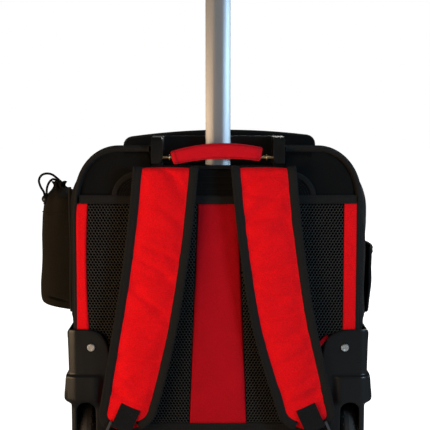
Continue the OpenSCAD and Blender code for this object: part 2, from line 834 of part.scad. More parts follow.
body_shell();
back_board();
mesh_pads();
back_centre_strip();
back_side_strips();
panel_bindings();
upper_yoke();
loop_patches();
edge_piping();
shoulder_strap(-1);  // shoulder_strap_left
shoulder_strap(1);  // shoulder_strap_right
strap_tab(-1);  // strap_tab_left
strap_tab(1);  // strap_tab_right
ladder_lock(-1);  // ladder_lock_left
ladder_lock(1);  // ladder_lock_right
lower_webbing(-1);  // lower_webbing_left
lower_webbing(1);  // lower_webbing_right
grab_handle();
handle_pins();
handle_tray();
pole_outer_tube();
pole_mid_tube();
pole_inner_tube();
pole_collar();
mid_tube_foot();
inner_tube_foot();
push_rod();
lock_pin();
pole_springs();
grip();
grip_button();
pole_bracket();
wheel_housing(-1);  // wheel_housing_left
wheel_housing(1);  // wheel_housing_right
case_screws();
tyre(-1);  // tyre_left
tyre(1);  // tyre_right
wheel_core(-1);  // wheel_core_left
wheel_core(1);  // wheel_core_right
wheel_bearings(-1);  // wheel_bearings_left
wheel_bearings(1);  // wheel_bearings_right
axles();
base_board();
front_stand();
stand_pad();
lid_panel();
lid_hinge();
front_pocket();
main_zipper_body();
main_zipper_lid();
main_slider(-1);  // main_slider_left
main_slider(1);  // main_slider_right
pocket_slider();
bottle_pocket();
drawcord();
cord_stopper();
phone_pocket();
ball_cup();
shelf();
back_lining();
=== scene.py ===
"""Looks of the wheeled backpack bag: soft goods, moulded parts, materials, light and camera."""

import math

import bmesh
import bpy
import numpy as np
from mathutils import Matrix, Vector, noise


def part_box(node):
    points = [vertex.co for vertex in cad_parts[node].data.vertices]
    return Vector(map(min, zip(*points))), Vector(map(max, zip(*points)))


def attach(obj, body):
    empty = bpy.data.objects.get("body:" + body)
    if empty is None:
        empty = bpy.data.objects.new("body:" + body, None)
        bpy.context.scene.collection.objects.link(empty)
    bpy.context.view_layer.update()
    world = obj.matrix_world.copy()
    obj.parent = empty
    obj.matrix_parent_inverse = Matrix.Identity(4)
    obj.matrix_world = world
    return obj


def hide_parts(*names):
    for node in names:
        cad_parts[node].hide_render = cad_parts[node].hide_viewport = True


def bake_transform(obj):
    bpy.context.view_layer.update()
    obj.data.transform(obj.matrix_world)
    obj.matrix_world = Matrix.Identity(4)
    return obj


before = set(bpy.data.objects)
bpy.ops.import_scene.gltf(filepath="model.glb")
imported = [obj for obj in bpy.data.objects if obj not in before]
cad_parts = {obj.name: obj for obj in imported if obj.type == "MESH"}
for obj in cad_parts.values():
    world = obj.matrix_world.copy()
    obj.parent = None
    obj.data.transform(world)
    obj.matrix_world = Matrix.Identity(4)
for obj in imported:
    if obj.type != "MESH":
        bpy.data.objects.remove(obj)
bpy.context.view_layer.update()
MM = 0.001
JOIN_DIST = 1e-6


def node_box(name):
    """Lowest and highest corners of a CAD node as numpy arrays."""
    low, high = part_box(name)
    return np.array(low), np.array(high)


# ---------------------------------------------------------------- frame sizes
shell_lo, shell_hi = node_box("body_shell")
pipe_lo, pipe_hi = node_box("edge_piping")
band_lo, band_hi = node_box("panel_bindings")
yoke_lo, yoke_hi = node_box("upper_yoke")
lid_lo, lid_hi = node_box("lid_panel")
pocket_lo, pocket_hi = node_box("front_pocket")
tray_lo, tray_hi = node_box("handle_tray")
house_lo, house_hi = node_box("wheel_housing_right")

HALF_W = shell_hi[0]
LID_TOP = lid_hi[2]
BODY_TOP = LID_TOP + 1 * MM
BASE_Z = shell_lo[2]
RIM_Y = shell_hi[1]
BACK_Y = pipe_lo[1]
EDGE_X = pipe_hi[0]
EDGE_TOP = pipe_hi[2]
FRAME_Y = BACK_Y + 25 * MM
HOUSE_X0 = house_lo[0]
HOUSE_FRONT = house_hi[1]
HOUSE_STEP = 0.138
GUARD_X = 0.179
HOUSE_EDGE = 0.182
BAND_TOP = band_hi[2]
BAND_Z = BAND_TOP - 10 * MM
SEAM_TOP = band_lo[2] + 9 * MM


# ---------------------------------------------------------------- mesh helpers
def make(name, verts, faces, material, body, slot, smooth=True, replaces=()):
    """A mesh piece from points and faces, riding on a CAD body."""
    mesh = bpy.data.meshes.new(name)
    mesh.from_pydata([tuple(map(float, v)) for v in verts], [], [tuple(map(int, f)) for f in faces])
    mesh.validate()
    mesh.update()
    mesh.materials.append(material)
    if smooth:
        shade_smooth(mesh)
    return settle(placed(name, mesh), body, replaces)


def placed(name, data):
    """A new object of the scene that holds the given mesh, light or camera."""
    obj = bpy.data.objects.new(name, data)
    bpy.context.scene.collection.objects.link(obj)
    return obj


def points_of(obj):
    return np.array([v.co for v in obj.data.vertices])


def move_points(obj, points):
    """Gives a mesh new places for its points."""
    obj.data.vertices.foreach_set("co", np.asarray(points, np.float32).ravel())
    obj.data.update()


def shade_smooth(mesh):
    mesh.polygons.foreach_set("use_smooth", [True] * len(mesh.polygons))


def hand(side):
    """Name of a side: -1 is left and 1 is right."""
    return "right" if side > 0 else "left"


def settle(obj, body, replaces=()):
    """Names the body and the CAD nodes that a piece stands for."""
    if body:
        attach(obj, body)
    if replaces:
        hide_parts(*replaces)
    return obj


def grid_faces(rows, cols, wrap_rows=False, wrap_cols=False, flip=False, base=0):
    """Quads of a rows x cols grid of points."""
    faces = []
    for i in range(rows if wrap_rows else rows - 1):
        for j in range(cols if wrap_cols else cols - 1):
            a = base + i * cols + j
            b = base + i * cols + (j + 1) % cols
            c = base + ((i + 1) % rows) * cols + (j + 1) % cols
            d = base + ((i + 1) % rows) * cols + j
            faces.append((a, d, c, b) if flip else (a, b, c, d))
    return faces


def closed_sheet(outer, inner, wrap_cols=False):
    """Points and faces of a solid between two grids of the same shape."""
    rows, cols = outer.shape[:2]
    verts = np.concatenate([outer.reshape(-1, 3), inner.reshape(-1, 3)])
    n = rows * cols
    faces = grid_faces(rows, cols, wrap_cols=wrap_cols)
    faces += grid_faces(rows, cols, wrap_cols=wrap_cols, flip=True, base=n)
    span = cols if wrap_cols else cols - 1
    for j in range(span):
        k = (j + 1) % cols
        faces.append((k, j, n + j, n + k))
        last = (rows - 1) * cols
        faces.append((last + j, last + k, n + last + k, n + last + j))
    if not wrap_cols:
        for i in range(rows - 1):
            a, b = i * cols, (i + 1) * cols
            faces.append((a, b, n + b, n + a))
            faces.append((b + cols - 1, a + cols - 1, n + a + cols - 1, n + b + cols - 1))
    return verts, faces


def outline_frame(path, closed=True):
    """Outward directions of a path that runs counter-clockwise in x and z."""
    if closed:
        t = np.roll(path, -1, 0) - np.roll(path, 1, 0)
    else:
        t = np.gradient(path, axis=0)
    return unit(np.stack([t[:, 2], np.zeros(len(path)), -t[:, 0]], 1))


def scaled_rings(ring, centre, profile):
    """Copies of an outline, each drawn in towards its centre by a share and moved to a depth y."""
    rings = np.zeros((len(profile), len(ring), 3))
    for k, (share, y) in enumerate(profile):
        rings[k] = centre + (ring - centre) * share
        rings[k, :, 1] = y
    return rings


def fix_normals(obj, join=False):
    """Turns every face of a closed mesh outwards, after joining points that lie on each other if asked."""
    bm = bmesh.new()
    bm.from_mesh(obj.data)
    if join:
        bmesh.ops.remove_doubles(bm, verts=bm.verts, dist=JOIN_DIST)
        bmesh.ops.dissolve_degenerate(bm, edges=bm.edges, dist=JOIN_DIST)
    bmesh.ops.recalc_face_normals(bm, faces=bm.faces)
    bm.to_mesh(obj.data)
    bm.free()
    return obj


def unit(vectors):
    """Each row of an array scaled to length one."""
    return vectors / np.linalg.norm(vectors, axis=1)[:, None]


def capped(rings):
    """Points and faces of a tube made of rings, with its first and last ring closed."""
    rows, cols = rings.shape[:2]
    faces = grid_faces(rows, cols, wrap_cols=True)
    faces += [tuple(range(cols)), tuple(reversed(range((rows - 1) * cols, rows * cols)))]
    return rings.reshape(-1, 3), faces


def sweep_data(path, section, up, closed=False):
    """Carries a closed section along a path. up points out of the surface that the path runs on."""
    path = np.asarray(path, float)
    n = len(path)
    up = np.broadcast_to(np.asarray(up, float), (n, 3))
    if closed:
        tangent = np.roll(path, -1, 0) - np.roll(path, 1, 0)
    else:
        tangent = np.gradient(path, axis=0)
    tangent = unit(tangent)
    out = unit(up - (up * tangent).sum(1)[:, None] * tangent)
    side = np.cross(tangent, out)
    section = np.asarray(section, float)
    if section.ndim == 2:
        section = np.broadcast_to(section, (n,) + section.shape)
    rings = path[:, None] + side[:, None] * section[:, :, :1] + out[:, None] * section[:, :, 1:]
    cols = rings.shape[1]
    if not closed:
        return capped(rings)
    return rings.reshape(-1, 3), grid_faces(n, cols, wrap_rows=True, wrap_cols=True)


def joined(parts):
    """Several (points, faces) pairs as one."""
    verts, faces, base = [], [], 0
    for v, f in parts:
        verts.append(np.asarray(v, float))
        faces += [tuple(i + base for i in face) for face in f]
        base += len(v)
    return np.concatenate(verts), faces


def circle(radius, sides=10):
    a = np.linspace(0, 2 * math.pi, sides, endpoint=False)
    return np.stack([radius * np.cos(a), radius * np.sin(a)], 1)


def tape(width, thick, soft=0.3, crown=0.0):
    """Section of a flat tape with rounded edges, lying on its path."""
    w, r = width / 2, thick * soft
    top = [(x, thick + crown * (1 - (x / w) ** 2)) for x in np.linspace(w - r, r - w, 7)]
    return np.array([(-w, r), (-w + r, 0), (w - r, 0), (w, r), (w, thick - r)] + top + [(-w, thick - r)])


def resample(points, step, closed=False):
    """The same path with evenly spaced points."""
    p = np.asarray(points, float)
    if closed:
        p = np.concatenate([p, p[:1]])
    run = np.concatenate([[0], np.cumsum(np.linalg.norm(np.diff(p, axis=0), axis=1))])
    n = max(2, int(round(run[-1] / step)) + 1)
    t = np.linspace(0, run[-1], n)
    q = np.stack([np.interp(t, run, p[:, k]) for k in range(p.shape[1])], 1)
    return q[:-1] if closed else q


def stitches(path, up, pitch=3.4 * MM, length=2.3 * MM, radius=0.38 * MM, closed=False):
    """Raised thread dashes along a path, as (points, faces)."""
    pts = resample(path, pitch, closed)
    ups = np.broadcast_to(np.asarray(up, float), (len(pts), 3))
    parts = []
    nxt = np.roll(pts, -1, 0) if closed else np.concatenate([pts[1:], pts[-1:] * 2 - pts[-2:-1]])
    for p, q, u in zip(pts, nxt, ups):
        d = q - p
        size = np.linalg.norm(d)
        if size < 1e-6:
            continue
        d = d / size
        line = [p - d * length / 2 - u * radius, p - d * length / 4 + u * radius * 0.5,
                p + d * length / 4 + u * radius * 0.5, p + d * length / 2 - u * radius]
        ring = circle(radius, 5)
        scale = np.array([0.55, 1, 1, 0.55])[:, None, None]
        parts.append(sweep_data(line, ring[None] * scale, u))
    return joined(parts)


def puff(obj, pressure, frames, cap, hold, share, slack):
    """Swells a closed cushion with cloth. hold pins points; share is what each keeps of its move."""
    start = points_of(obj)
    bpy.context.view_layer.objects.active = obj
    mod = obj.modifiers.new("cloth", "CLOTH")
    cloth = mod.settings
    cloth.quality = 5
    cloth.mass = 0.25
    cloth.tension_stiffness = cloth.compression_stiffness = 12.0
    cloth.bending_stiffness = 0.6
    cloth.use_pressure = True
    cloth.uniform_pressure_force = pressure
    cloth.effector_weights.gravity = 0
    cloth.shrink_min = -slack
    group = obj.vertex_groups.new(name="hold")
    group.add([i for i, pinned in enumerate(hold) if pinned], 1.0, "REPLACE")
    cloth.vertex_group_mass = "hold"
    cloth.pin_stiffness = 5
    mod.point_cache.frame_start, mod.point_cache.frame_end = 1, frames
    scene = bpy.context.scene
    for f in range(1, frames + 1):
        scene.frame_set(f)
    depsgraph = bpy.context.evaluated_depsgraph_get()
    moved = np.array([v.co for v in obj.evaluated_get(depsgraph).data.vertices])
    obj.modifiers.remove(mod)
    scene.frame_set(1)
    shift = moved - start
    size = np.linalg.norm(shift, axis=1)
    shift *= np.minimum(1, cap / np.maximum(size, 1e-9))[:, None]
    move_points(obj, start + shift * np.asarray(share)[:, None])
    return obj


def apply_modifiers(obj):
    """Replaces a piece's mesh by what its modifiers make of it."""
    depsgraph = bpy.context.evaluated_depsgraph_get()
    mesh = bpy.data.meshes.new_from_object(obj.evaluated_get(depsgraph))
    obj.modifiers.clear()
    obj.data = mesh
    return obj


def subdivide(obj):
    """Smooths a piece with one round of subdivision."""
    mod = obj.modifiers.new("smooth", "SUBSURF")
    mod.levels = mod.render_levels = 1
    return apply_modifiers(obj)


def cut_boxes(obj, boxes):
    """Takes boxes, each given by two corners, out of a closed mesh."""
    for lo, hi in boxes:
        bm = bmesh.new()
        bmesh.ops.create_cube(bm, size=1)
        mesh = bpy.data.meshes.new("cutter")
        size = np.array(hi) - np.array(lo)
        mid = (np.array(hi) + np.array(lo)) / 2
        bm.transform(Matrix.Translation(Vector(mid)) @ Matrix.Diagonal(Vector((*size, 1))))
        bm.to_mesh(mesh)
        bm.free()
        cutter = placed("cutter", mesh)
        mod = obj.modifiers.new("cut", "BOOLEAN")
        mod.operation = "DIFFERENCE"
        mod.solver = "EXACT"
        mod.object = cutter
        bpy.context.view_layer.update()
        apply_modifiers(obj)
        bpy.data.objects.remove(cutter)
    return obj


def ripple(p, size, seed=0.0):
    """Smooth noise between -1 and 1 at a place, with features of the given size."""
    q = Vector((p[0] / size + seed, p[1] / size - seed * 0.7, p[2] / size + seed * 0.3))
    return noise.noise(q)


def dressed(mesh, material):
    """A mesh with one material in place of all it had."""
    mesh.materials.clear()
    mesh.materials.append(material)
    return mesh


def moulded(node, bevel, material, body, segments=3):
    """A copy of a CAD node with its edges rounded as a mould leaves them; the copy stands for the node."""
    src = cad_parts[node]
    bm = bmesh.new()
    bm.from_mesh(src.data)
    bmesh.ops.remove_doubles(bm, verts=bm.verts, dist=1e-5)
    bmesh.ops.dissolve_limit(bm, angle_limit=math.radians(1.0), verts=bm.verts, edges=bm.edges)
    mesh = bpy.data.meshes.new(node + "_moulded")
    bm.to_mesh(mesh)
    bm.free()
    obj = placed(mesh.name, dressed(mesh, material))
    mod = obj.modifiers.new("edges", "BEVEL")
    mod.width = bevel
    mod.segments = segments
    mod.limit_method = "ANGLE"
    mod.angle_limit = math.radians(35)
    mod.harden_normals = True
    mod.use_clamp_overlap = True
    apply_modifiers(obj)
    shade_smooth(obj.data)
    obj.data.set_sharp_from_angle(angle=math.radians(45))
    mod = obj.modifiers.new("normals", "WEIGHTED_NORMAL")
    mod.keep_sharp = True
    apply_modifiers(obj)
    return settle(obj, body, [node])


# ---------------------------------------------------------------- materials
class Look:
    """Builds one node material step by step."""

    def __init__(self, name, colour, rough, metal=0.0):
        self.mat = bpy.data.materials.new(name)
        self.mat.use_nodes = True
        self.tree = self.mat.node_tree
        self.bsdf = self.tree.nodes["Principled BSDF"]
        self.bsdf.inputs["Base Color"].default_value = (*colour, 1)
        self.bsdf.inputs["Roughness"].default_value = rough
        self.bsdf.inputs["Metallic"].default_value = metal
        self.colour = colour
        self.place = self.add("ShaderNodeTexCoord").outputs["Object"]
        self.height = None
        self.shade = None

    def add(self, kind, **values):
        node = self.tree.nodes.new(kind)
        for key, value in values.items():
            if key in node.inputs:
                node.inputs[key].default_value = value
            else:
                setattr(node, key, value)
        return node

    def link(self, a, b):
        self.tree.links.new(a, b)

    def math(self, op, a, b=None, c=None):
        node = self.add("ShaderNodeMath", operation=op)
        for k, value in enumerate((a, b, c)):
            if value is None:
                continue
            if isinstance(value, (int, float)):
                node.inputs[k].default_value = value
            else:
                self.link(value, node.inputs[k])
        return node.outputs[0]

    def scaled(self, stretch):
        node = self.add("ShaderNodeVectorMath", operation="MULTIPLY")
        self.link(self.place, node.inputs[0])
        node.inputs[1].default_value = stretch
        return node.outputs[0]

    def noise(self, size, stretch=(1, 1, 1), detail=3.0):
        """Noise between 0 and 1 with features of the given size in metres."""
        node = self.add("ShaderNodeTexNoise", Scale=1.0 / size, Detail=detail)
        self.link(self.scaled(stretch), node.inputs["Vector"])
        return node.outputs["Fac"]

    def weave(self, pitch):
        """Over-and-under pattern of a plain weave, -1 to 1, on faces of any direction."""
        parts = self.add("ShaderNodeSeparateXYZ")
        self.link(self.place, parts.inputs[0])
        x, y, z = parts.outputs
        k = 2 * math.pi / pitch
        across = self.math("SINE", self.math("MULTIPLY", self.math("ADD", x, y), k))
        tilt = self.math("MULTIPLY", self.math("SUBTRACT", y, x), 0.5)
        along = self.math("SINE", self.math("MULTIPLY", self.math("ADD", z, tilt), k))
        return self.math("MULTIPLY", across, along)

    def raise_by(self, field, amount):
        """Adds a field to the height map; amount is in metres."""
        part = self.math("MULTIPLY", field, amount)
        self.height = part if self.height is None else self.math("ADD", self.height, part)

    def between(self, field, low, high):
        """low where the field is 0 and high where it is 1."""
        part = self.add("ShaderNodeMapRange")
        self.link(field, part.inputs["Value"])
        part.inputs["To Min"].default_value = low
        part.inputs["To Max"].default_value = high
        return part.outputs[0]

    def tint_by(self, field, low, high):
        """Multiplies the colour by a factor that a field sets."""
        part = self.between(field, low, high)
        self.shade = part if self.shade is None else self.math("MULTIPLY", self.shade, part)

    def rough_by(self, field, low, high):
        self.link(self.between(field, low, high), self.bsdf.inputs["Roughness"])

    def done(self):
        if self.height is not None:
            bump = self.add("ShaderNodeBump", Strength=1.0, Distance=1.0)
            self.link(self.height, bump.inputs["Height"])
            self.link(bump.outputs[0], self.bsdf.inputs["Normal"])
        if self.shade is not None:
            mix = self.add("ShaderNodeVectorMath", operation="SCALE")
            mix.inputs[0].default_value = self.colour
            self.link(self.shade, mix.inputs["Scale"])
            self.link(mix.outputs[0], self.bsdf.inputs["Base Color"])
        return self.mat


def woven(name, colour, pitch=0.9 * MM, sheen=0.02, mottle=0.5, rough=0.85, gloss=0.05):
    """Matt woven polyester: weave relief, uneven dye and a soft sheen."""
    look = Look(name, colour, rough)
    look.bsdf.inputs["Sheen Weight"].default_value = sheen
    look.bsdf.inputs["Sheen Roughness"].default_value = 0.5
    look.bsdf.inputs["Specular IOR Level"].default_value = gloss
    weave = look.weave(pitch)
    look.raise_by(weave, 0.10 * MM)
    look.raise_by(look.noise(1.3 * MM, detail=2), 0.16 * MM)
    look.tint_by(look.noise(1.0 * MM, detail=2), 1 - mottle, 1 + mottle)
    look.tint_by(look.noise(22 * MM), 0.90, 1.10)
    look.tint_by(weave, 0.94, 1.06)
    return look.done()


def webbing(name, colour, pitch=1.6 * MM):
    """Webbing, binding tape and thread: a coarse weave with an uneven dye."""
    look = Look(name, colour, 0.8)
    look.bsdf.inputs["Sheen Weight"].default_value = 0.02
    look.bsdf.inputs["Specular IOR Level"].default_value = 0.10
    look.raise_by(look.weave(pitch), 0.22 * MM)
    look.raise_by(look.noise(1.3 * MM), 0.3 * MM)
    look.tint_by(look.noise(1.6 * MM, detail=2), 0.72, 1.3)
    look.tint_by(look.noise(15 * MM), 0.88, 1.12)
    return look.done()


def plastic(name, colour, rough=0.42, grain=0.06):
    """Moulded plastic with a fine spark texture, uneven gloss and light scuffs."""
    look = Look(name, colour, rough)
    look.bsdf.inputs["Specular IOR Level"].default_value = 0.30
    look.raise_by(look.noise(0.7 * MM, detail=2), grain * MM)
    look.raise_by(look.noise(18 * MM), 0.15 * MM)
    look.rough_by(look.noise(12 * MM, (1, 1, 0.4), 4), rough - 0.1, rough + 0.14)
    look.tint_by(look.noise(25 * MM), 0.9, 1.12)
    return look.done()


def metal(name, colour, rough, brushed=(1, 1, 0.02)):
    """Drawn or plated metal with fine lines along its length."""
    look = Look(name, colour, rough, 1.0)
    lines = look.noise(0.5 * MM, brushed, 2)
    look.raise_by(lines, 0.01 * MM)
    look.rough_by(lines, rough - 0.05, rough + 0.1)
    look.tint_by(look.noise(30 * MM, brushed), 0.94, 1.05)
    return look.done()


mat_red = woven("red_fabric", (0.78, 0.0045, 0.0085), mottle=0.45)
# Darker copy of the red fabric: painted shade that the straps cast on the centre strip; the side strip's tail
# takes it too.
mat_red_shaded = woven("red_fabric_painted_shade", (0.45, 0.004, 0.010), sheen=0.01, mottle=0.4)
mat_red_handle = woven("red_handle_fabric", (0.60, 0.006, 0.014), mottle=0.4)
mat_black = woven("black_fabric", (0.0062, 0.0060, 0.0058))
# Brighter, brown copy of the black fabric for the bottle pocket: painted warm light from the left-hand lamp.
mat_black_warm_lit = woven("pocket_fabric_painted_warm_light", (0.0105, 0.0088, 0.0062))
mat_yoke = woven("yoke_fabric", (0.0050, 0.0048, 0.0046), pitch=0.7 * MM, sheen=0.03)
mat_mesh = woven("spacer_mesh", (0.024, 0.022, 0.019), pitch=0.6 * MM, sheen=0.05, gloss=0.2)
# Near-black for the hole walls and the ground under the spacer mesh: painted shade in the holes, far darker
# than the black fabric.
mat_mesh_hole_shade = woven("mesh_backing_painted_shade", (0.0008, 0.0008, 0.0008), sheen=0.0, gloss=0.0)
mat_binding = webbing("binding_tape", (0.0110, 0.0102, 0.0092))
mat_web = webbing("webbing", (0.0075, 0.0075, 0.0080))
mat_thread = webbing("thread", (0.016, 0.015, 0.015), pitch=0.5 * MM)
mat_thread_red = webbing("thread_red", (0.50, 0.008, 0.016), pitch=0.5 * MM)
mat_cord = webbing("cord", (0.004, 0.004, 0.004), pitch=1.0 * MM)
mat_lining = woven("lining_fabric", (0.05, 0.05, 0.055), pitch=0.5 * MM, sheen=0.05)
mat_foam = woven("seat_foam", (0.035, 0.035, 0.038), pitch=1.4 * MM, sheen=0.1, mottle=0.6)
mat_plastic = plastic("black_plastic", (0.0032, 0.0030, 0.0028), 0.30)
mat_plastic_grey = plastic("grey_plastic", (0.04, 0.04, 0.041), 0.36)
mat_board = plastic("board_plastic", (0.03, 0.03, 0.032), 0.6)
mat_zip = plastic("zip_coil", (0.012, 0.012, 0.013), 0.35)
mat_rubber = plastic("tyre_rubber", (0.016, 0.013, 0.011), 0.62, 0.15)
mat_alu = metal("anodised_aluminium", (0.27, 0.27, 0.28), 0.33)
mat_alu.node_tree.nodes["Principled BSDF"].inputs["Metallic"].default_value = 0.45
mat_steel = metal("zinc_steel", (0.72, 0.70, 0.66), 0.25, (1, 1, 1))
mat_brass = metal("brass", (0.55, 0.40, 0.20), 0.3, (1, 1, 1))
mat_loop = woven("loop_pile", (0.0028, 0.0028, 0.0030), pitch=1.1 * MM, sheen=0.01, mottle=0.8)


# ---------------------------------------------------------------- fabric body
def oval_arc(cx, cz, rx, rz, a0, a1, count):
    """Points on an oval arc between two angles in degrees."""
    return [(cx + rx * math.cos(a), cz + rz * math.sin(a)) for a in np.radians(np.linspace(a0, a1, count))]


def spaced(points, count):
    """A closed path as count evenly spaced points."""
    closed = np.concatenate([points, points[:1]])
    run = np.concatenate([[0], np.cumsum(np.linalg.norm(np.diff(closed, axis=0), axis=1))])
    t = np.linspace(0, run[-1], count, endpoint=False)
    return np.stack([np.interp(t, run, closed[:, k]) for k in range(closed.shape[1])], 1)


def at_depth(ring, y):
    """An outline in x and z as points at depth y."""
    return np.stack([ring[:, 0], np.full(len(ring), y), ring[:, 1]], 1)


def corner_outline(half, z0, z1, rx, rz, rb, count):
    """Closed outline in x and z with oval top corners and round bottom ones, evenly spaced."""
    pts = oval_arc(half - rx, z1 - rz, rx, rz, 0, 90, 24) + oval_arc(rx - half, z1 - rz, rx, rz, 90, 180, 24)
    pts += oval_arc(rb - half, z0 + rb, rb, rb, 180, 270, 24)
    pts += oval_arc(half - rb, z0 + rb, rb, rb, 270, 360, 24)
    return spaced(np.array(pts), count)


OVAL_X, OVAL_Z = 52 * MM, 60 * MM
RING = 280


def smooth(t):
    t = min(1.0, max(0.0, t))
    return t * t * (3 - 2 * t)


def smooth_all(t):
    t = np.clip(t, 0, 1)
    return t * t * (3 - 2 * t)


def shell_ring(y, inset=0.0, count=RING):
    """Body outline at depth y: it slopes down from the stiff back edge and bellies out at the sides."""
    t = min(1.0, max(0.0, (y - FRAME_Y) / (RIM_Y - FRAME_Y)))
    b = smooth((FRAME_Y - y) / (22 * MM))
    half = HALF_W + (EDGE_X - HALF_W) * b + 4.2 * MM * math.sin(math.pi * math.sqrt(t)) * (1 - b)
    top = BODY_TOP + (EDGE_TOP - BODY_TOP) * b - 1.5 * MM * math.sin(math.pi * t)
    low = BASE_Z + 4 * MM * b
    ring = corner_outline(half - inset, low + inset, top - inset, (62 - 10 * b) * MM - inset * 0.8,
                          (66 - 6 * b) * MM - inset, 20 * MM - inset * 0.6, count)
    return at_depth(ring, y)


def body_wrinkle(p):
    """How far the body's fabric stands off its even shape at a point, in millimetres."""
    fold = abs(ripple(p * np.array([1, 1.7, 0.8]), 62 * MM, 3.1))
    return 2.0 * ripple(p, 95 * MM, 1.3) - 3.4 * max(0.0, 0.30 - fold) / 0.30 + 0.9


def build_body():
    ys = [BACK_Y + d * MM for d in (4.8, 7, 10, 14, 18, 22, 26)]
    ys += list(np.linspace(FRAME_Y + 4 * MM, RIM_Y - 0.4 * MM, 42))
    outer = np.array([shell_ring(y) for y in ys])
    inner = np.array([shell_ring(y, 4.2 * MM) for y in ys])
    centre = np.array([0, 0, (BODY_TOP + BASE_Z) / 2])
    for i, y in enumerate(ys):
        soft = min(1.0, (y - ys[0]) / (30 * MM), (ys[-1] - y) / (22 * MM))
        for j in range(RING):
            p = outer[i, j]
            lean = (p - centre) * np.array([1, 0, 1])
            lean /= np.linalg.norm(lean)
            high = 1 - 0.7 * smooth((p[2] - 0.33) / 0.06) - 0.5 * smooth((-0.10 - y) / 0.05)
            shift = lean * body_wrinkle(p) * soft * max(0.15, high) * MM
            outer[i, j] += shift
            inner[i, j] += shift
            away = smooth(max((y - HOUSE_FRONT) / (24 * MM), (p[2] - house_hi[2]) / (24 * MM)) - 0.15)
            wall = GUARD_X - 0.7 * MM + 10 * MM * away
            outer[i, j, 0] = min(wall, max(-wall, outer[i, j, 0]))
            inner[i, j, 0] = min(wall - 3.6 * MM, max(3.6 * MM - wall, inner[i, j, 0]))
    obj = make("body_fabric", *closed_sheet(outer, inner, wrap_cols=True), mat_black, None, "fabric_black")
    fix_normals(obj)
    clear = 0.5 * MM
    boxes = [((HOUSE_X0 - clear, -0.4, 0), (0.3, HOUSE_FRONT + clear, HOUSE_STEP + clear)),
             ((-0.3, -0.4, 0), (clear - HOUSE_X0, HOUSE_FRONT + clear, HOUSE_STEP + clear)),
             ((tray_lo[0] - clear, -0.4, tray_lo[2] - clear), (tray_hi[0] + clear, tray_hi[1] + clear, 0.6))]
    cut_boxes(obj, boxes)
    settle(obj, "bag", ["body_shell"])


build_body()

# ---------------------------------------------------------------- back panel
def back_edge(inset, y, count=300):
    ring = corner_outline(EDGE_X - inset, BASE_Z + 4 * MM + inset, EDGE_TOP - inset,
                          OVAL_X - inset, OVAL_Z - inset, 18 * MM, count)
    return at_depth(ring, y)


def part_above(path, z):
    """The stretch of a closed path that lies above z, in order."""
    above = path[:, 2] > z
    start = next(i for i in range(len(path)) if above[i] and not above[i - 1])
    path = np.roll(path, -start, 0)
    return path[np.roll(above, -start)]


def split_at_tray(path):
    """Left and right stretches of a path that the handle tray interrupts."""
    left = path[path[:, 0] < tray_lo[0] - 1 * MM]
    right = path[path[:, 0] > tray_hi[0] + 1 * MM]
    return left, right


def build_piping():
    run = part_above(back_edge(2.6 * MM, BACK_Y + 1.0 * MM, 500), 0.19)
    parts = []
    for stretch in split_at_tray(run):
        stretch = resample(stretch, 2.5 * MM)
        stretch[:, 0] = np.where(stretch[:, 0] < -EDGE_X + 30 * MM, stretch[:, 0] - 3.6 * MM * smooth_all(
            (0.375 - stretch[:, 2]) / 0.05), stretch[:, 0])
        parts.append(sweep_data(stretch, circle(2.3 * MM, 12), (0, -1, 0)))
        flange = stretch + np.array([0, 3.0 * MM, 0])
        parts.append(sweep_data(flange, tape(7.5 * MM, 1.2 * MM), (0, -1, 0)))
    make("edge_piping_cord", *joined(parts), mat_binding, "bag", "binding_black", replaces=["edge_piping"])


def crowned_panel(name, outline_fn, n_u, n_v, y_front, thick, crown, material, slot, replaces, body="bag",
                  wave=0.6, seed=0.0, edge=0.12):
    """A stitched-down panel that swells from its seams, with a flat back. outline_fn(u, v) gives x and z."""
    front = np.zeros((n_v, n_u, 3))
    back = np.zeros((n_v, n_u, 3))
    for i in range(n_v):
        v = i / (n_v - 1)
        for j in range(n_u):
            u = j / (n_u - 1)
            x, z = outline_fn(u, v)
            rise = 1.0
            for d in (u / edge, (1 - u) / edge, v / edge, (1 - v) / edge):
                if d < 1:
                    rise *= math.sin(d * math.pi / 2) ** 0.7
            p = (x, y_front, z)
            h = rise * (crown + wave * MM * ripple(p, 40 * MM, seed))
            front[i, j] = (x, y_front - h, z)
            back[i, j] = (x, y_front + thick, z)
    obj = make(name, *closed_sheet(front, back), material, body, slot, replaces=replaces)
    return fix_normals(obj)


def strip_inner(side, z):
    """Inner edge of a side strip, measured from the middle."""
    v = (z - SEAM_TOP) / (BAND_Z - SEAM_TOP)
    if side > 0:
        return (151.2 - 3.0 * (1 - v) ** 6) * MM
    bow = 2.3 * math.sin(math.pi * min(1.0, max(0.0, (z - 0.19) / 0.155)))
    return (156.2 + bow - 3.0 * (1 - v) ** 6) * MM


def strip_outer(side, z):
    v = max(0.0, (BAND_Z - z) / (BAND_Z - 0.19))
    return (166.4 if side > 0 else 170.4 + 2.0 * v ** 3) * MM


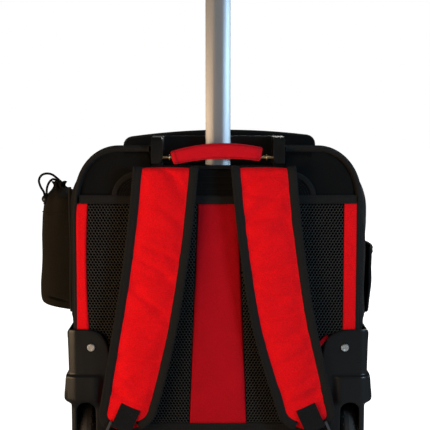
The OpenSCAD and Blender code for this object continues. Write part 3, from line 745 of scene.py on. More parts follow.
def mesh_pad(side):
    """Spacer mesh: a net of ridges round sunken holes, on a padded ground."""
    name = "mesh_pad_" + hand(side)
    px, pz = 3.8 * MM, 3.15 * MM
    z0, z1 = SEAM_TOP + 0.6 * MM, BAND_Z - 0.6 * MM
    x_out = strip_inner(side, 0.27) + 1.5 * MM
    x_in0, x_in1 = 34.8 * MM, 24.2 * MM

    def inner_x(z):
        return x_in0 + (x_in1 - x_in0) * (z - z0) / (z1 - z0)

    def surface(x, z):
        d = min(x - inner_x(z), strip_inner(side, z) - x, z - z0, z1 - z) / (9 * MM)
        rise = 1 if d >= 1 else math.sqrt(max(0, 1 - (1 - max(d, 0)) ** 2))
        wave = 0.7 * ripple((x * side, 0, z), 45 * MM, 5.0 + side)
        return BACK_Y + 2.2 * MM - rise * (3.0 + wave) * MM

    verts, faces, index, dark = [], [], {}, set()

    def vert(x, z, depth):
        z = min(max(z, z0), z1)
        x = min(max(x, inner_x(z)), strip_inner(side, z) - 0.5 * MM)
        key = (round(x * 2e5), round(z * 2e5), round(depth * 1e6))
        if key not in index:
            index[key] = len(verts)
            verts.append((side * x, surface(x, z) + depth, z))
        return index[key]

    rows = int((z1 - z0) / pz) + 2
    cols = int((x_out - x_in1) / px) + 2
    for r in range(rows):
        for c in range(cols):
            cx = x_out - (c + (0.5 if r % 2 else 0.0)) * px
            cz = z0 + r * pz
            if cx < inner_x(cz) - px * 0.6 or cz > z1 + pz * 0.6:
                continue
            if cx > HOUSE_X0 + 8 * MM and cz < HOUSE_STEP - 8 * MM:
                continue
            hexagon = [(0, 2 / 3), (-0.5, 1 / 3), (-0.5, -1 / 3), (0, -2 / 3), (0.5, -1 / 3), (0.5, 1 / 3)]
            rim = [vert(cx + a * px, cz + b * pz, 0) for a, b in hexagon]
            if len(set(rim)) < 6:
                continue
            lip = [vert(cx + (a + 0.15 * b) * px * 0.70, cz + b * pz * 0.76, 0.20 * MM) for a, b in hexagon]
            well = [vert(cx + (a + 0.15 * b) * px * 0.60, cz + b * pz * 0.66, 1.9 * MM) for a, b in hexagon]
            if len(set(lip)) < 6 or len(set(well)) < 6:
                faces.append(tuple(rim))
                continue
            for k in range(6):
                m = (k + 1) % 6
                faces.append((rim[k], rim[m], lip[m], lip[k]))
                faces.append((lip[k], lip[m], well[m], well[k]))
                dark.add(len(faces) - 1)
            faces.append(tuple(well))
            dark.add(len(faces) - 1)
    if side < 0:
        faces = [tuple(reversed(f)) for f in faces]
    obj = make(name, verts, faces, mat_mesh, None, "mesh_black")
    # Hole walls and floors take the near-black material: painted shade in the holes.
    obj.data.materials.append(mat_mesh_hole_shade)
    obj.data.polygons.foreach_set("material_index", [int(k in dark) for k in range(len(faces))])
    mod = obj.modifiers.new("thick", "SOLIDIFY")
    mod.thickness = 0.8 * MM
    mod.offset = -1
    mod.use_rim = True
    apply_modifiers(obj)
    fix_normals(obj)
    return settle(obj, "bag", ["mesh_pads"] if side > 0 else ())


def build_back_panel():
    """Piping, the mesh pads on their grounds, the centre strip and the side strips."""
    build_piping()
    low, high = SEAM_TOP + 0.5 * MM, BAND_Z - 0.4 * MM
    strip_low = house_hi[2] - 40 * MM

    def ground(side):
        def place(u, v):
            z = low + (high - low) * v
            return side * ((34.5 + (24.0 - 34.5) * v) * MM * (1 - u) + (strip_inner(side, z) - 1 * MM) * u), z
        return place

    def side_strip(side):
        def place(u, v):
            z = strip_low + (high - strip_low) * v
            return side * (strip_inner(side, z) * (1 - u) + strip_outer(side, z) * u), z
        return place

    def centre_strip(u, v):
        return (2 * u - 1) * (34.4 + (23.6 - 34.4) * v) * MM, low + (high - low) * v

    for side in (-1, 1):
        mesh_pad(side)
        # The ground under the mesh takes the same near-black: painted shade.
        crowned_panel("mesh_ground_" + hand(side), ground(side), 30, 50, BACK_Y + 3.4 * MM, 1.0 * MM,
                      0.8 * MM, mat_mesh_hole_shade, "mesh_black", ())
    # The centre strip takes the darker red copy: painted shade of the straps.
    crowned_panel("centre_strip_fabric", centre_strip, 36, 90, BACK_Y + 0.6 * MM, 3.2 * MM, 1.6 * MM,
                  mat_red_shaded, "fabric_red", ["back_centre_strip"], wave=1.2, seed=2.0, edge=0.16)
    for side in (-1, 1):
        crowned_panel("side_strip_" + hand(side), side_strip(side), 14, 70, BACK_Y + 0.2 * MM, 3.2 * MM,
                      1.0 * MM, mat_red, "fabric_red", ["back_side_strips"] if side > 0 else (), wave=0.5,
                      seed=7.0 + side, edge=0.2)


build_back_panel()


def tape_run(name, path, width, thick, up, material, slot, body, replaces=(), crown=0.0, rows=2, closed=False,
             thread=None):
    """A tape along a path with a row of stitches near each edge."""
    path = resample(path, 3 * MM, closed)
    thread = thread or mat_thread
    make(name, *sweep_data(path, tape(width, thick, 0.35, crown), up, closed), material, body, slot,
         replaces=replaces)
    ups = np.broadcast_to(np.asarray(up, float), (len(path), 3))
    side = np.cross(unit(np.gradient(path, axis=0)), ups)
    offsets = [0.0] if rows == 1 else [-width / 2 + 1.6 * MM, width / 2 - 1.6 * MM]
    parts = [stitches(path + side * o + ups * (thick + crown * 0.3), np.asarray(up, float), closed=closed)
             for o in offsets]
    make(name + "_stitching", *joined(parts), thread, body, slot)


def build_bindings():
    sag = lambda x: -1.4 * MM * math.cos(x / EDGE_X * math.pi / 2)
    xs = np.linspace(-165.5, 165.5, 80) * MM
    z = (BAND_Z + BAND_TOP) / 2
    path = [(x, BACK_Y + 0.8 * MM, z + sag(x) * 0.5) for x in xs]
    tape_run("top_band_tape", path, 10.5 * MM, 2.4 * MM, (0, -1, 0), mat_binding, "binding_black", "bag",
             ["panel_bindings"], crown=0.7 * MM)
    xs = np.linspace(-126.5, 126.5, 60) * MM
    path = [(x, BACK_Y + 1.4 * MM, SEAM_TOP - 4.4 * MM) for x in xs]
    tape_run("seam_tape", path, 9.5 * MM, 2.0 * MM, (0, -1, 0), mat_binding, "binding_black", "bag", rows=1)


build_bindings()


def build_yoke():
    """Smooth padded yoke that fills the panel above the top band."""
    rows, cols = 40, 120
    z_low = yoke_lo[2]
    front = np.zeros((rows, cols, 3))
    back = np.zeros((rows, cols, 3))
    x_max, z_max = EDGE_X - 4.9 * MM, EDGE_TOP - 4.9 * MM
    rx, rz = OVAL_X - 4.9 * MM, OVAL_Z - 4.9 * MM
    for j in range(cols):
        x = -x_max + 2 * x_max * j / (cols - 1)
        over = max(0.0, abs(x) - (x_max - rx)) / rx
        top = z_max - rz * (1 - math.sqrt(max(0.0, 1 - over * over)))
        if tray_lo[0] - 1 * MM < x < tray_hi[0] + 1 * MM:
            top = min(top, tray_lo[2] - 0.6 * MM)
        for i in range(rows):
            v = i / (rows - 1)
            z = z_low + (top - z_low) * v
            d = min(1.0, min(x_max - abs(x), top - z) / (11 * MM))
            rise = math.sqrt(max(0.0, 1 - (1 - max(d, 0)) ** 2))
            swell = 2.6 + 0.9 * ripple((x, 0, z), 55 * MM, 9.0)
            front[i, j] = (x, yoke_lo[1] + 1.2 * MM - rise * swell * MM, z)
            back[i, j] = (x, yoke_hi[1] - 0.3 * MM, z)
    obj = make("yoke_fabric", *closed_sheet(front, back), mat_yoke, "bag", "fabric_black",
               replaces=["upper_yoke"])
    fix_normals(obj)


build_yoke()


def build_loop_patches():
    """Rough loop pile: a pad covered in small upright tufts."""
    lo, hi = node_box("loop_patches")
    for side in (-1, 1):
        name = "loop_patch_" + hand(side)
        x0, x1 = tray_hi[0] + 1 * MM, tray_hi[0] + 33 * MM
        z0, z1 = lo[2], hi[2]
        y = yoke_lo[1] - 1.0 * MM
        parts = []
        base = np.array([(side * x, yy, z) for yy in (y, y + 1.6 * MM) for x, z in
                         ((x0, z0), (x1, z0), (x1, z1), (x0, z1))])
        parts.append((base, [(0, 1, 2, 3), (7, 6, 5, 4), (0, 4, 5, 1),
                             (1, 5, 6, 2), (2, 6, 7, 3), (3, 7, 4, 0)]))
        step = 1.25 * MM
        rng = np.random.default_rng(31 + side)
        for a in np.arange(x0 + step, x1 - step / 2, step):
            for b in np.arange(z0 + step, z1 - step / 2, step):
                p = np.array([side * (a + rng.uniform(-0.3, 0.3) * MM), y, b + rng.uniform(-0.3, 0.3) * MM])
                lean = [rng.uniform(-0.5, 0.5), -rng.uniform(0.5, 1.1), rng.uniform(-0.5, 0.5)]
                tip = p + np.array(lean) * MM
                r = 0.42 * MM
                tuft = np.array([p + (r, 0, 0), p + (-r, 0, r), p + (-r, 0, -r), tip])
                parts.append((tuft, [(0, 1, 3), (1, 2, 3), (2, 0, 3), (0, 2, 1)]))
        obj = make(name, *joined(parts), mat_loop, "bag", "loop_black", smooth=False,
                   replaces=["loop_patches"] if side > 0 else ())
        fix_normals(obj)


build_loop_patches()


# ---------------------------------------------------------------- shoulder straps
STRAP_LO, STRAP_HI = node_box("shoulder_strap_right")
STRAP_MID = (node_box("shoulder_strap_left")[0][0] + STRAP_HI[0]) / 2
STRAP_TOP = STRAP_HI[2]
STRAP_END = STRAP_LO[2]
STRAP_FRONT = STRAP_LO[1]
STRAP_HALF = 38.5 * MM
FOLD_R = 8 * MM
FOLD_Y = BACK_Y - 1 * MM - FOLD_R
FOLD_Z = STRAP_TOP - FOLD_R
BIND = 10 * MM


def strap_mid(z):
    u = (STRAP_TOP - z) / (STRAP_TOP - 70 * MM)
    return (57.5 + 26 * u + 27 * u * u) * MM


def hang(side, z):
    """The right strap hangs a little further out towards its end than the left one."""
    return 5.5 * MM * smooth((0.22 - z) / 0.13) if side > 0 else 0.0


def strap_half(z):
    narrow = 0 if z > 0.2 else 4 * MM * ((0.2 - z) / 0.11) ** 1.6
    tip = 1.0
    if z < STRAP_END + 22 * MM:
        tip = math.sqrt(max(0.02, 1 - ((STRAP_END + 22 * MM - z) / (22.6 * MM)) ** 2))
    return (STRAP_HALF - narrow) * tip


def strap_line(s):
    """Centre of the strap's front skin at run s, over the fold at the top and down the front: y, z, out."""
    arc = FOLD_R * math.pi / 2
    if s < arc:
        a = math.pi / 2 + s / FOLD_R
        return FOLD_Y + FOLD_R * math.cos(a), FOLD_Z + FOLD_R * math.sin(a), (math.cos(a), math.sin(a))
    z = FOLD_Z - (s - arc)
    return STRAP_FRONT, z, (-1.0, 0.0)


def build_strap(side):
    """Padded strap: a flat lens that cloth swells, creases, and binding along both edges."""
    tag = hand(side)
    body = "strap_" + tag
    length = FOLD_R * math.pi / 2 + (FOLD_Z - STRAP_END)
    rows, cols = 96, 26
    thick = 10.2 * MM
    front = np.zeros((rows, cols, 3))
    back = np.zeros((rows, cols, 3))
    hold = np.zeros((rows, cols))
    share = np.zeros((rows, cols))
    for i in range(rows):
        s = length * i / (rows - 1)
        y, z, out = strap_line(s)
        half, mid = strap_half(z), strap_mid(z)
        for j in range(cols):
            u = 2 * j / (cols - 1) - 1
            x = STRAP_MID + hang(side, z) + side * (mid + u * (half - 1.0 * MM))
            tip = min(1.0, (rows - 1 - i) / 5)
            lens = (1 - abs(u) ** 3.2) * tip
            front_d = 2.6 * MM * (1 - lens)
            t = 3.2 * MM + (thick - 5.2 * MM) * lens
            front[i, j] = (x, y - out[0] * front_d, z - out[1] * front_d)
            back[i, j] = (x, y - out[0] * (front_d + t), z - out[1] * (front_d + t))
            hold[i, j] = 1.0 if abs(u) > 0.86 or i < 3 or i > rows - 4 else 0.0
            share[i, j] = 0.8 * smooth((0.80 - abs(u)) / 0.36)
    verts, faces = closed_sheet(front, back)
    obj = make("shoulder_strap_" + tag + "_pad", verts, faces, mat_red, None, "fabric_red")
    fix_normals(obj)
    puff(obj, 3.0, 16, 4.0 * MM, np.concatenate([hold.ravel(), np.ones(hold.size)]),
         np.concatenate([share.ravel(), np.zeros(share.size)]), 0.02)
    crease(obj, side)
    subdivide(obj)
    settle(obj, body, ["shoulder_strap_" + tag])
    edge_binding(side, length)


def crease(obj, side):
    """Gentle creases across the strap, fading out towards its edges."""
    co = points_of(obj)
    for p in co:
        if p[1] > BACK_Y - 9 * MM:
            continue
        fold = ripple((p[0] * 0.55, 0, p[2] * 1.25 + side * p[0] * 0.35), 34 * MM, 4.0 + side)
        fine = ripple((p[0], 0, p[2]), 16 * MM, 8.0 - side)
        sharp = abs(ripple((p[0] * 0.4 + 0.3, 0, p[2] * 1.5 - side * p[0] * 0.5), 46 * MM, 12.0 + side))
        inside = smooth((p[2] - STRAP_END) / 0.04)
        across = abs((p[0] - STRAP_MID - hang(side, p[2])) * side - strap_mid(p[2])) / strap_half(p[2])
        hold = smooth((0.80 - across) / 0.36)
        p[1] += hold * (1.5 * fold + 0.5 * fine + 3.0 * max(0.0, 0.15 - sharp) / 0.15 * inside) * MM
    move_points(obj, co)


def edge_binding(side, length):
    """Folded tape along each edge of a strap, with one row of stitches near its inner edge."""
    steps, lift, w = 130, 0.2 * MM, BIND / 2
    parts, threads = [], []
    for edge in (-1, 1):
        pts, up = [], []
        for k in range(steps):
            y, z, out = strap_line(length * 0.985 * k / (steps - 1))
            x = STRAP_MID + hang(side, z) + side * (strap_mid(z) + edge * (strap_half(z) - BIND / 2))
            pts.append((x, y + out[0] * lift, z + out[1] * lift))
            up.append((0, out[0], out[1]))
        pts, up = np.array(pts), np.array(up, float)
        turn = -edge * side
        shape = np.array([(-w, -8.2 * MM), (-w - 1.3 * MM, -5 * MM), (-w - 1.2 * MM, -1.6 * MM),
                          (-w + 0.6 * MM, -0.1 * MM), (-w + 2.6 * MM, 0.5 * MM), (0, 0.8 * MM),
                          (w - 1.2 * MM, 0.9 * MM), (w, 0.3 * MM), (w, -1.8 * MM), (0, -2.2 * MM),
                          (-w + 1.6 * MM, -2.6 * MM), (-w + 1.2 * MM, -8.2 * MM)])
        shape[:, 0] *= turn
        if turn < 0:
            shape = shape[::-1]
        parts.append(sweep_data(pts, shape, up))
        sideways = np.cross(unit(np.gradient(pts, axis=0)), up)
        threads.append(stitches(pts + sideways * (w - 2.2 * MM) * turn + up * 0.9 * MM, (0, -1, 0)))
    body = "strap_" + hand(side)
    fix_normals(make("strap_binding_" + hand(side), *joined(parts), mat_binding, body, "binding_black"))
    make("strap_stitching_" + hand(side), *joined(threads), mat_thread, body, "binding_black")


for strap_side in (-1, 1):
    build_strap(strap_side)


# ---------------------------------------------------------------- strap ends
LOCK_TILT = 16
END_TURN = 8
END_TOP = 94 * MM
BAR_Z = 75 * MM


def build_strap_end(side):
    tag = hand(side)
    body = "strap_" + tag
    end_shift = 8.5 * MM if side > 0 else 0.0
    turn = math.radians(END_TURN) * side
    hub = np.array([STRAP_MID + side * strap_mid(END_TOP), 0, END_TOP])
    for node, bevel, material, slot in (("ladder_lock_" + tag, 0.8 * MM, mat_plastic_grey, "plastic_black"),
                                        ("strap_tab_" + tag, 0.4 * MM, mat_web, "webbing_black"),
                                        ("lower_webbing_" + tag, 0.4 * MM, mat_web, "webbing_black")):
        piece = moulded(node, bevel, material, body, 2)
        for v in piece.data.vertices:
            if node.startswith("lower"):
                v.co.x += (end_shift + turn * 22 * MM) * smooth((v.co.z - BASE_Z) / (0.055 - BASE_Z))
                continue
            dx, dz = v.co.x - hub[0], v.co.z - hub[2]
            v.co.x = hub[0] + end_shift + dx * math.cos(turn) - dz * math.sin(turn)
            v.co.z = hub[2] + dx * math.sin(turn) + dz * math.cos(turn)
    tab_lo = node_box("strap_tab_" + tag)[0]
    tilt = math.radians(LOCK_TILT) * side
    pivot = np.array([STRAP_MID + end_shift + side * strap_mid(BAR_Z), tab_lo[1] + 3.2 * MM, BAR_Z])

    def local(a, b, c=0.0):
        p = pivot + np.array([a * math.cos(tilt) - b * math.sin(tilt), c,
                              a * math.sin(tilt) + b * math.cos(tilt)])
        dx, dz = p[0] - end_shift - hub[0], p[2] - hub[2]
        return np.array([hub[0] + end_shift + dx * math.cos(turn) - dz * math.sin(turn), p[1],
                         hub[2] + dx * math.sin(turn) + dz * math.cos(turn)])

    w, low, high = 10.2 * MM, 11 * MM, 23 * MM
    corners = [(-w, low), (w, low), (w, high), (-w, high)]
    front = -0.1 * MM
    box_path = [local(a, b, front) for a, b in corners]
    parts = [stitches(box_path, (0, -1, 0), 2.8 * MM, 2.0 * MM, 0.33 * MM, closed=True)]
    for a, b in ((0, 2), (1, 3)):
        parts.append(stitches([box_path[a], box_path[b]], (0, -1, 0), 2.8 * MM, 2.0 * MM, 0.33 * MM))
    make("tab_stitching_" + tag, *joined(parts), mat_thread, body, "webbing_black")


for strap_side in (-1, 1):
    build_strap_end(strap_side)


# ---------------------------------------------------------------- strap roots on the yoke
ROOT_ROWS = (0.362, 0.3695, 0.377)


def build_strap_root():
    """Padded patch that both straps are sewn into: bound arcs at its two ends, rows of stitching across."""
    x_left, x_right, z_low, z_top, rx, rz = -127 * MM, 117 * MM, BAND_Z + 2 * MM, 384 * MM, 34 * MM, 32 * MM
    y_face = yoke_lo[1] - 2.6 * MM

    def top_at(x):
        over = max(0.0, x_left + rx - x, x - x_right + rx) / rx
        return z_top - rz * (1 - math.sqrt(max(0.0, 1 - over * over)))

    rows, cols = 26, 110
    front, back = np.zeros((rows, cols, 3)), np.zeros((rows, cols, 3))
    for j in range(cols):
        x = x_left + (x_right - x_left) * j / (cols - 1)
        high = max(z_low + 1 * MM, min(top_at(x), tray_lo[2] - 1 * MM if abs(x) < tray_hi[0] else 1))
        for i in range(rows):
            z = z_low + (high - z_low) * i / (rows - 1)
            edge = min(1.0, min(x - x_left, x_right - x, high - z) / (8 * MM))
            groove = sum(math.exp(-((z - g) / (1.0 * MM)) ** 2) for g in ROOT_ROWS)
            rise = math.sqrt(max(0.0, 1 - (1 - max(edge, 0)) ** 2))
            lift = (1.8 + 0.7 * ripple((x, 0, z), 30 * MM, 6.0) - 0.9 * groove) * rise
            front[i, j] = (x, y_face - lift * MM, z)
            back[i, j] = (x, yoke_lo[1] + 1.5 * MM, z)
    obj = make("strap_root_patch", *closed_sheet(front, back), mat_yoke, "bag", "fabric_black")
    fix_normals(obj)
    threads = []
    for g in ROOT_ROWS:
        threads.append(stitches([(-0.030, y_face - 1.0 * MM, g), (0.022, y_face - 1.0 * MM, g)], (0, -1, 0)))
    for side, x_end in ((-1, x_left), (1, x_right)):
        arc = []
        for a in np.radians(np.linspace(6, 84, 26)):
            arc.append((x_end - side * (rx - (rx - 3.5 * MM) * math.cos(a)), y_face - 0.6 * MM,
                        z_top - rz + (rz - 3.5 * MM) * math.sin(a)))
        arc = [(arc[0][0], arc[0][1], z_low + 1 * MM)] + arc
        name = "root_binding_" + hand(side)
        tape_run(name, arc, 7 * MM, 1.9 * MM, (0, -1, 0), mat_binding, "binding_black", "bag", crown=0.6 * MM)
        for shrink in (9, 12, 15):
            line = []
            for a in np.radians(np.linspace(10, 80, 20)):
                line.append((x_end - side * (rx - (rx - shrink * MM) * math.cos(a)), y_face - 1.9 * MM,
                             z_top - rz + (rz - shrink * MM) * math.sin(a)))
            threads.append(stitches(line, (0, -1, 0)))
    make("root_stitching", *joined(threads), mat_thread, "bag", "fabric_black")


build_strap_root()


# ---------------------------------------------------------------- grab handle
HANDLE_Z = 0.4


def build_handle():
    """Padded red handle: a flat stuffed tube on an arc, flatter and a little shorter at its ends."""
    lo, hi = node_box("grab_handle")
    half, rise, y_mid = 53.6 * MM, 6.2 * MM, (lo[1] + hi[1]) / 2
    lean = math.radians(2.4)
    rows, cols = 64, 28
    rings = np.zeros((rows, cols, 3))
    seam_top, seam_low, ends = [], [], []
    for i in range(rows):
        u = 2 * i / (rows - 1) - 1
        tip = math.sqrt(max(0.0, 1 - max(0.0, (abs(u) - 0.94) / 0.06) ** 2))
        high = (9.4 - 1.1 * u * u) * MM * (0.90 + 0.10 * tip)
        thick = (3.0 + 1.3 * (1 - u * u)) * MM * (0.35 + 0.65 * tip)
        cx, cz = u * half, HANDLE_Z + 1.2 * MM + rise * (1 - u * u)
        slope = -2 * rise * u / half
        nx, nz = -slope / math.hypot(1, slope), 1 / math.hypot(1, slope)
        for j in range(cols):
            a = 2 * math.pi * j / cols
            c, q = math.cos(a), math.sin(a)
            h = high * math.copysign(abs(c) ** 0.7, c)
            d = thick * math.copysign(abs(q) ** 0.9, q)
            wob = ripple((cx * 1.4, d * 20, cz), 17 * MM, 2.2)
            d *= 1 + 0.16 * wob
            rings[i, j] = (cx + nx * h, y_mid - d, cz + nz * h)
        seam = high - 2.1 * MM
        front = y_mid - thick * 0.80 - 0.3 * MM
        if 1 < i < rows - 2:
            seam_top.append((cx + nx * seam, front, cz + nz * seam))
            seam_low.append((cx - nx * seam, front, cz - nz * seam))
        if i in (3, rows - 4):
            ends.append([(cx + nx * h, y_mid - thick * 0.95 - 0.3 * MM, cz + nz * h)
                         for h in np.linspace(-0.75, 0.75, 12) * high])

    def turned(points):
        p = np.asarray(points, float) - np.array([0, 0, HANDLE_Z])
        q = p.copy()
        q[..., 0] = p[..., 0] * math.cos(lean) - p[..., 2] * math.sin(lean)
        q[..., 2] = p[..., 0] * math.sin(lean) + p[..., 2] * math.cos(lean)
        return q + np.array([-1.5 * MM, 0, HANDLE_Z])

    obj = make("grab_handle_pad", *capped(turned(rings)), mat_red_handle, None, "fabric_red")
    fix_normals(obj)
    subdivide(obj)
    settle(obj, "grab", ["grab_handle"])
    lines = [stitches(turned(p), (0, -1, 0)) for p in [seam_top, seam_low] + ends]
    make("grab_handle_stitching", *joined(lines), mat_thread_red, "grab", "fabric_red")
    loops = []
    for x in (-57.5 * MM, 57.5 * MM):
        around = [(x, y_mid - 2.6 * MM * math.sin(a), HANDLE_Z + 2.6 * MM * math.cos(a))
                  for a in np.linspace(0, 2 * math.pi, 24, endpoint=False)]
        loops.append(sweep_data(around, circle(0.9 * MM, 8), (1, 0, 0), closed=True))
    make("handle_rings", *joined(loops), mat_brass, "grab", "steel")


build_handle()


# ---------------------------------------------------------------- bottle pocket
POCKET_X0, POCKET_Y, POCKET_HALF = -179.2 * MM, -125 * MM, 47 * MM


def pocket_section(out, half, count=72):
    """D-shaped ring that stands out from the body's side, starting at the point furthest out."""
    a = np.linspace(0, 2 * math.pi, count, endpoint=False)
    c, q = np.cos(a), np.sin(a)
    x = np.where(c > 0, POCKET_X0 - out * np.abs(c) ** 0.62, POCKET_X0 + 0.6 * MM)
    y = POCKET_Y + half * np.sign(q) * np.abs(q) ** 0.72
    return np.stack([x, y], 1)


def build_bottle_pocket():
    """Sagging pouch whose top is gathered into a neck by a drawcord."""
    outs = [(205, 42), (207.2, 44), (212, 44.6), (238, 44.6), (262, 44.0), (300, 42.6), (325, 40.5),
            (348, 36.5)]
    levels = np.array(outs, float) * MM
    count = 72
    a = np.linspace(0, 2 * math.pi, count, endpoint=False)
    rings = []
    base = pocket_section(42 * MM, POCKET_HALF)
    centre = np.array([POCKET_X0 - 16 * MM, POCKET_Y])
    for share in (0.02, 0.35, 0.65, 0.86, 0.96):
        ring = centre + (base - centre) * share
        tilt = 4 * MM + np.maximum(0, POCKET_X0 - ring[:, 0]) * 0.15
        rings.append(np.column_stack([ring, 205 * MM + tilt - 1.0 * MM * (1 - share)]))
    heights = np.concatenate([[206, 207.2, 208.6, 210.4], np.arange(212, 232, 1.25),
                              np.linspace(233, 348, 37)])
    for z in heights * MM:
        out = np.interp(z, levels[:, 0], levels[:, 1])
        ring = pocket_section(out, POCKET_HALF)
        low = smooth((0.228 - z) / 0.022)
        tilt = (4 * MM + np.maximum(0, POCKET_X0 - ring[:, 0]) * 0.15) * low
        gather = smooth((z - 0.295) / 0.05)
        for k in range(count):
            if ring[k, 0] > POCKET_X0 - 1 * MM:
                continue
            p = np.array([ring[k, 0], ring[k, 1], z])
            push = 1.4 * ripple(p, 42 * MM, 11.0) + 1.1 * ripple(p * np.array([1, 1, 0.5]), 20 * MM, 5.0)
            push += gather * 1.4 * math.sin(13 * a[k] + 1.5 * math.sin(3 * a[k]))
            slope = p[2] + 0.32 * (p[0] - POCKET_X0)
            fold = math.exp(-((slope - 0.2150) / 0.0020) ** 2) * smooth((-0.184 - p[0]) / 0.01)
            push -= 6.5 * fold * smooth((p[0] + 0.212) / 0.006)
            ring[k] += (ring[k] - np.array([POCKET_X0, POCKET_Y])) / (50 * MM) * push * MM
        rings.append(np.column_stack([ring, np.full(count, z) + tilt]))
    neck = np.array([-198.5 * MM, -139 * MM])
    last = rings[-1][:, :2]

    def neck_ring(scale, depth):
        """Pleated ring round the neck; depth is how deep its pleats are."""
        r = 6.2 * MM * scale
        pleat = 1 + depth * np.sin(9 * a + 0.8 * np.sin(2 * a))
        return neck + np.stack([-r * np.cos(a) * pleat, r * 1.35 * np.sin(a) * pleat], 1)

    for share, z, flare in ((0.12, 350, 0), (0.34, 352.5, 0), (0.6, 355.5, 0), (0.82, 358.5, 0),
                            (0.95, 360.5, 0),
                            (1.0, 362, 0), (1.0, 363.5, 0.10), (1.0, 365.2, 0.30), (1.0, 366.4, 0.42)):
        ring = last * (1 - share) + neck_ring(1 + flare, 0.05 + 0.16 * share) * share
        wave = 0.9 * MM * flare * 2 * np.sin(9 * a)
        rings.append(np.column_stack([ring, np.full(count, z * MM) + wave]))
    for z, scale in ((366.2, 0.86), (362, 0.62), (356, 0.55), (351, 0.5)):
        rings.append(np.column_stack([neck_ring(scale, 0.12), np.full(count, z * MM)]))
    # The pocket takes the brown copy of the black fabric: painted warm light.
    obj = make("bottle_pocket_fabric", *capped(np.array(rings)), mat_black_warm_lit, None, "fabric_black")
    fix_normals(obj, join=True)
    subdivide(obj)
    settle(obj, "bag", ["bottle_pocket"])
    trims, threads = [], []
    for y in (POCKET_Y - POCKET_HALF - 1.2 * MM, POCKET_Y + POCKET_HALF + 1.2 * MM):
        line = [(POCKET_X0 - (1.6 + 0.5 * math.sin(z * 60)) * MM, y, z)
                for z in np.linspace(0.208, 0.362, 50)]
        trims.append(sweep_data(line, circle(1.9 * MM, 10), (-1, 0, 0)))
    hem = next(ring for ring in rings if ring[0, 2] > 327 * MM)
    outer = hem[hem[:, 0] < POCKET_X0 - 4 * MM]
    order = np.argsort(outer[:, 1])
    outer = outer[order]
    ups = unit((outer - np.array([POCKET_X0, POCKET_Y, 0])) * np.array([1, 1, 0]))
    threads.append(stitches(outer + ups * 0.5 * MM, (-1, 0, 0)))
    make("bottle_pocket_piping", *joined(trims), mat_binding, "bag", "binding_black")
    make("bottle_pocket_stitching", *joined(threads), mat_thread, "bag", "fabric_black")


build_bottle_pocket()


def curve_through(points, step):
    """Smooth path through points (Catmull-Rom), evenly spaced."""
    p = np.asarray(points, float)
    p = np.concatenate([2 * p[:1] - p[1:2], p, 2 * p[-1:] - p[-2:-1]])
    out = []
    for i in range(1, len(p) - 2):
        for t in np.linspace(0, 1, 10, endpoint=False):
            out.append(0.5 * (2 * p[i] + (p[i + 1] - p[i - 1]) * t
                              + (2 * p[i - 1] - 5 * p[i] + 4 * p[i + 1] - p[i + 2]) * t * t
                              + (3 * p[i] - p[i - 1] - 3 * p[i + 1] + p[i + 2]) * t ** 3))
    out.append(p[-2])
    return resample(out, step)


def build_drawcord():
    """Loop of cord that leaves the neck of the bottle pocket and hangs through its stopper."""
    y0, y1 = -158 * MM, -146 * MM
    outer = [(-195.5, y1, 366.5), (-199.2, y0, 372.3), (-205.4, y0, 376.6), (-212.8, y0, 377.4),
             (-218.4, y0, 374.6), (-221.0, y0, 368.6), (-219.0, y0, 361.2), (-215.4, y0, 355.0),
             (-214.4, y0, 350.5),
             (-214.3, y0, 343.0)]
    inner = [(-197.5, y1, 366.0), (-202.9, y0, 370.6), (-207.9, y0, 367.2), (-210.9, y0, 360.7),
             (-211.7, y0, 354.5),
             (-211.8, y0, 350.5), (-211.8, y0, 343.0)]
    parts = []
    for line in (outer, inner):
        path = curve_through([(x * MM, y, z * MM) for x, y, z in line], 0.9 * MM)
        n = len(path)
        ring = circle(1.42 * MM, 12)
        twist = 1 + 0.06 * np.sin(np.arange(n) * 2.4)
        parts.append(sweep_data(path, ring[None] * twist[:, None, None], (0, -1, 0.02)))
    knot = []
    for k in range(60):
        t = k / 60 * 2 * math.pi
        r = 1.5 * MM + 0.7 * MM * math.cos(3 * t)
        knot.append((-213.1 * MM + r * math.cos(2 * t), y0 + r * math.sin(2 * t),
                     341 * MM + 0.9 * MM * math.sin(3 * t)))
    parts.append(sweep_data(knot, circle(1.0 * MM, 8), (0.1, -1, 0.3), closed=True))
    obj = make("drawcord_rope", *joined(parts), mat_cord, "bag", "webbing_black", replaces=["drawcord"])
    fix_normals(obj)


build_drawcord()


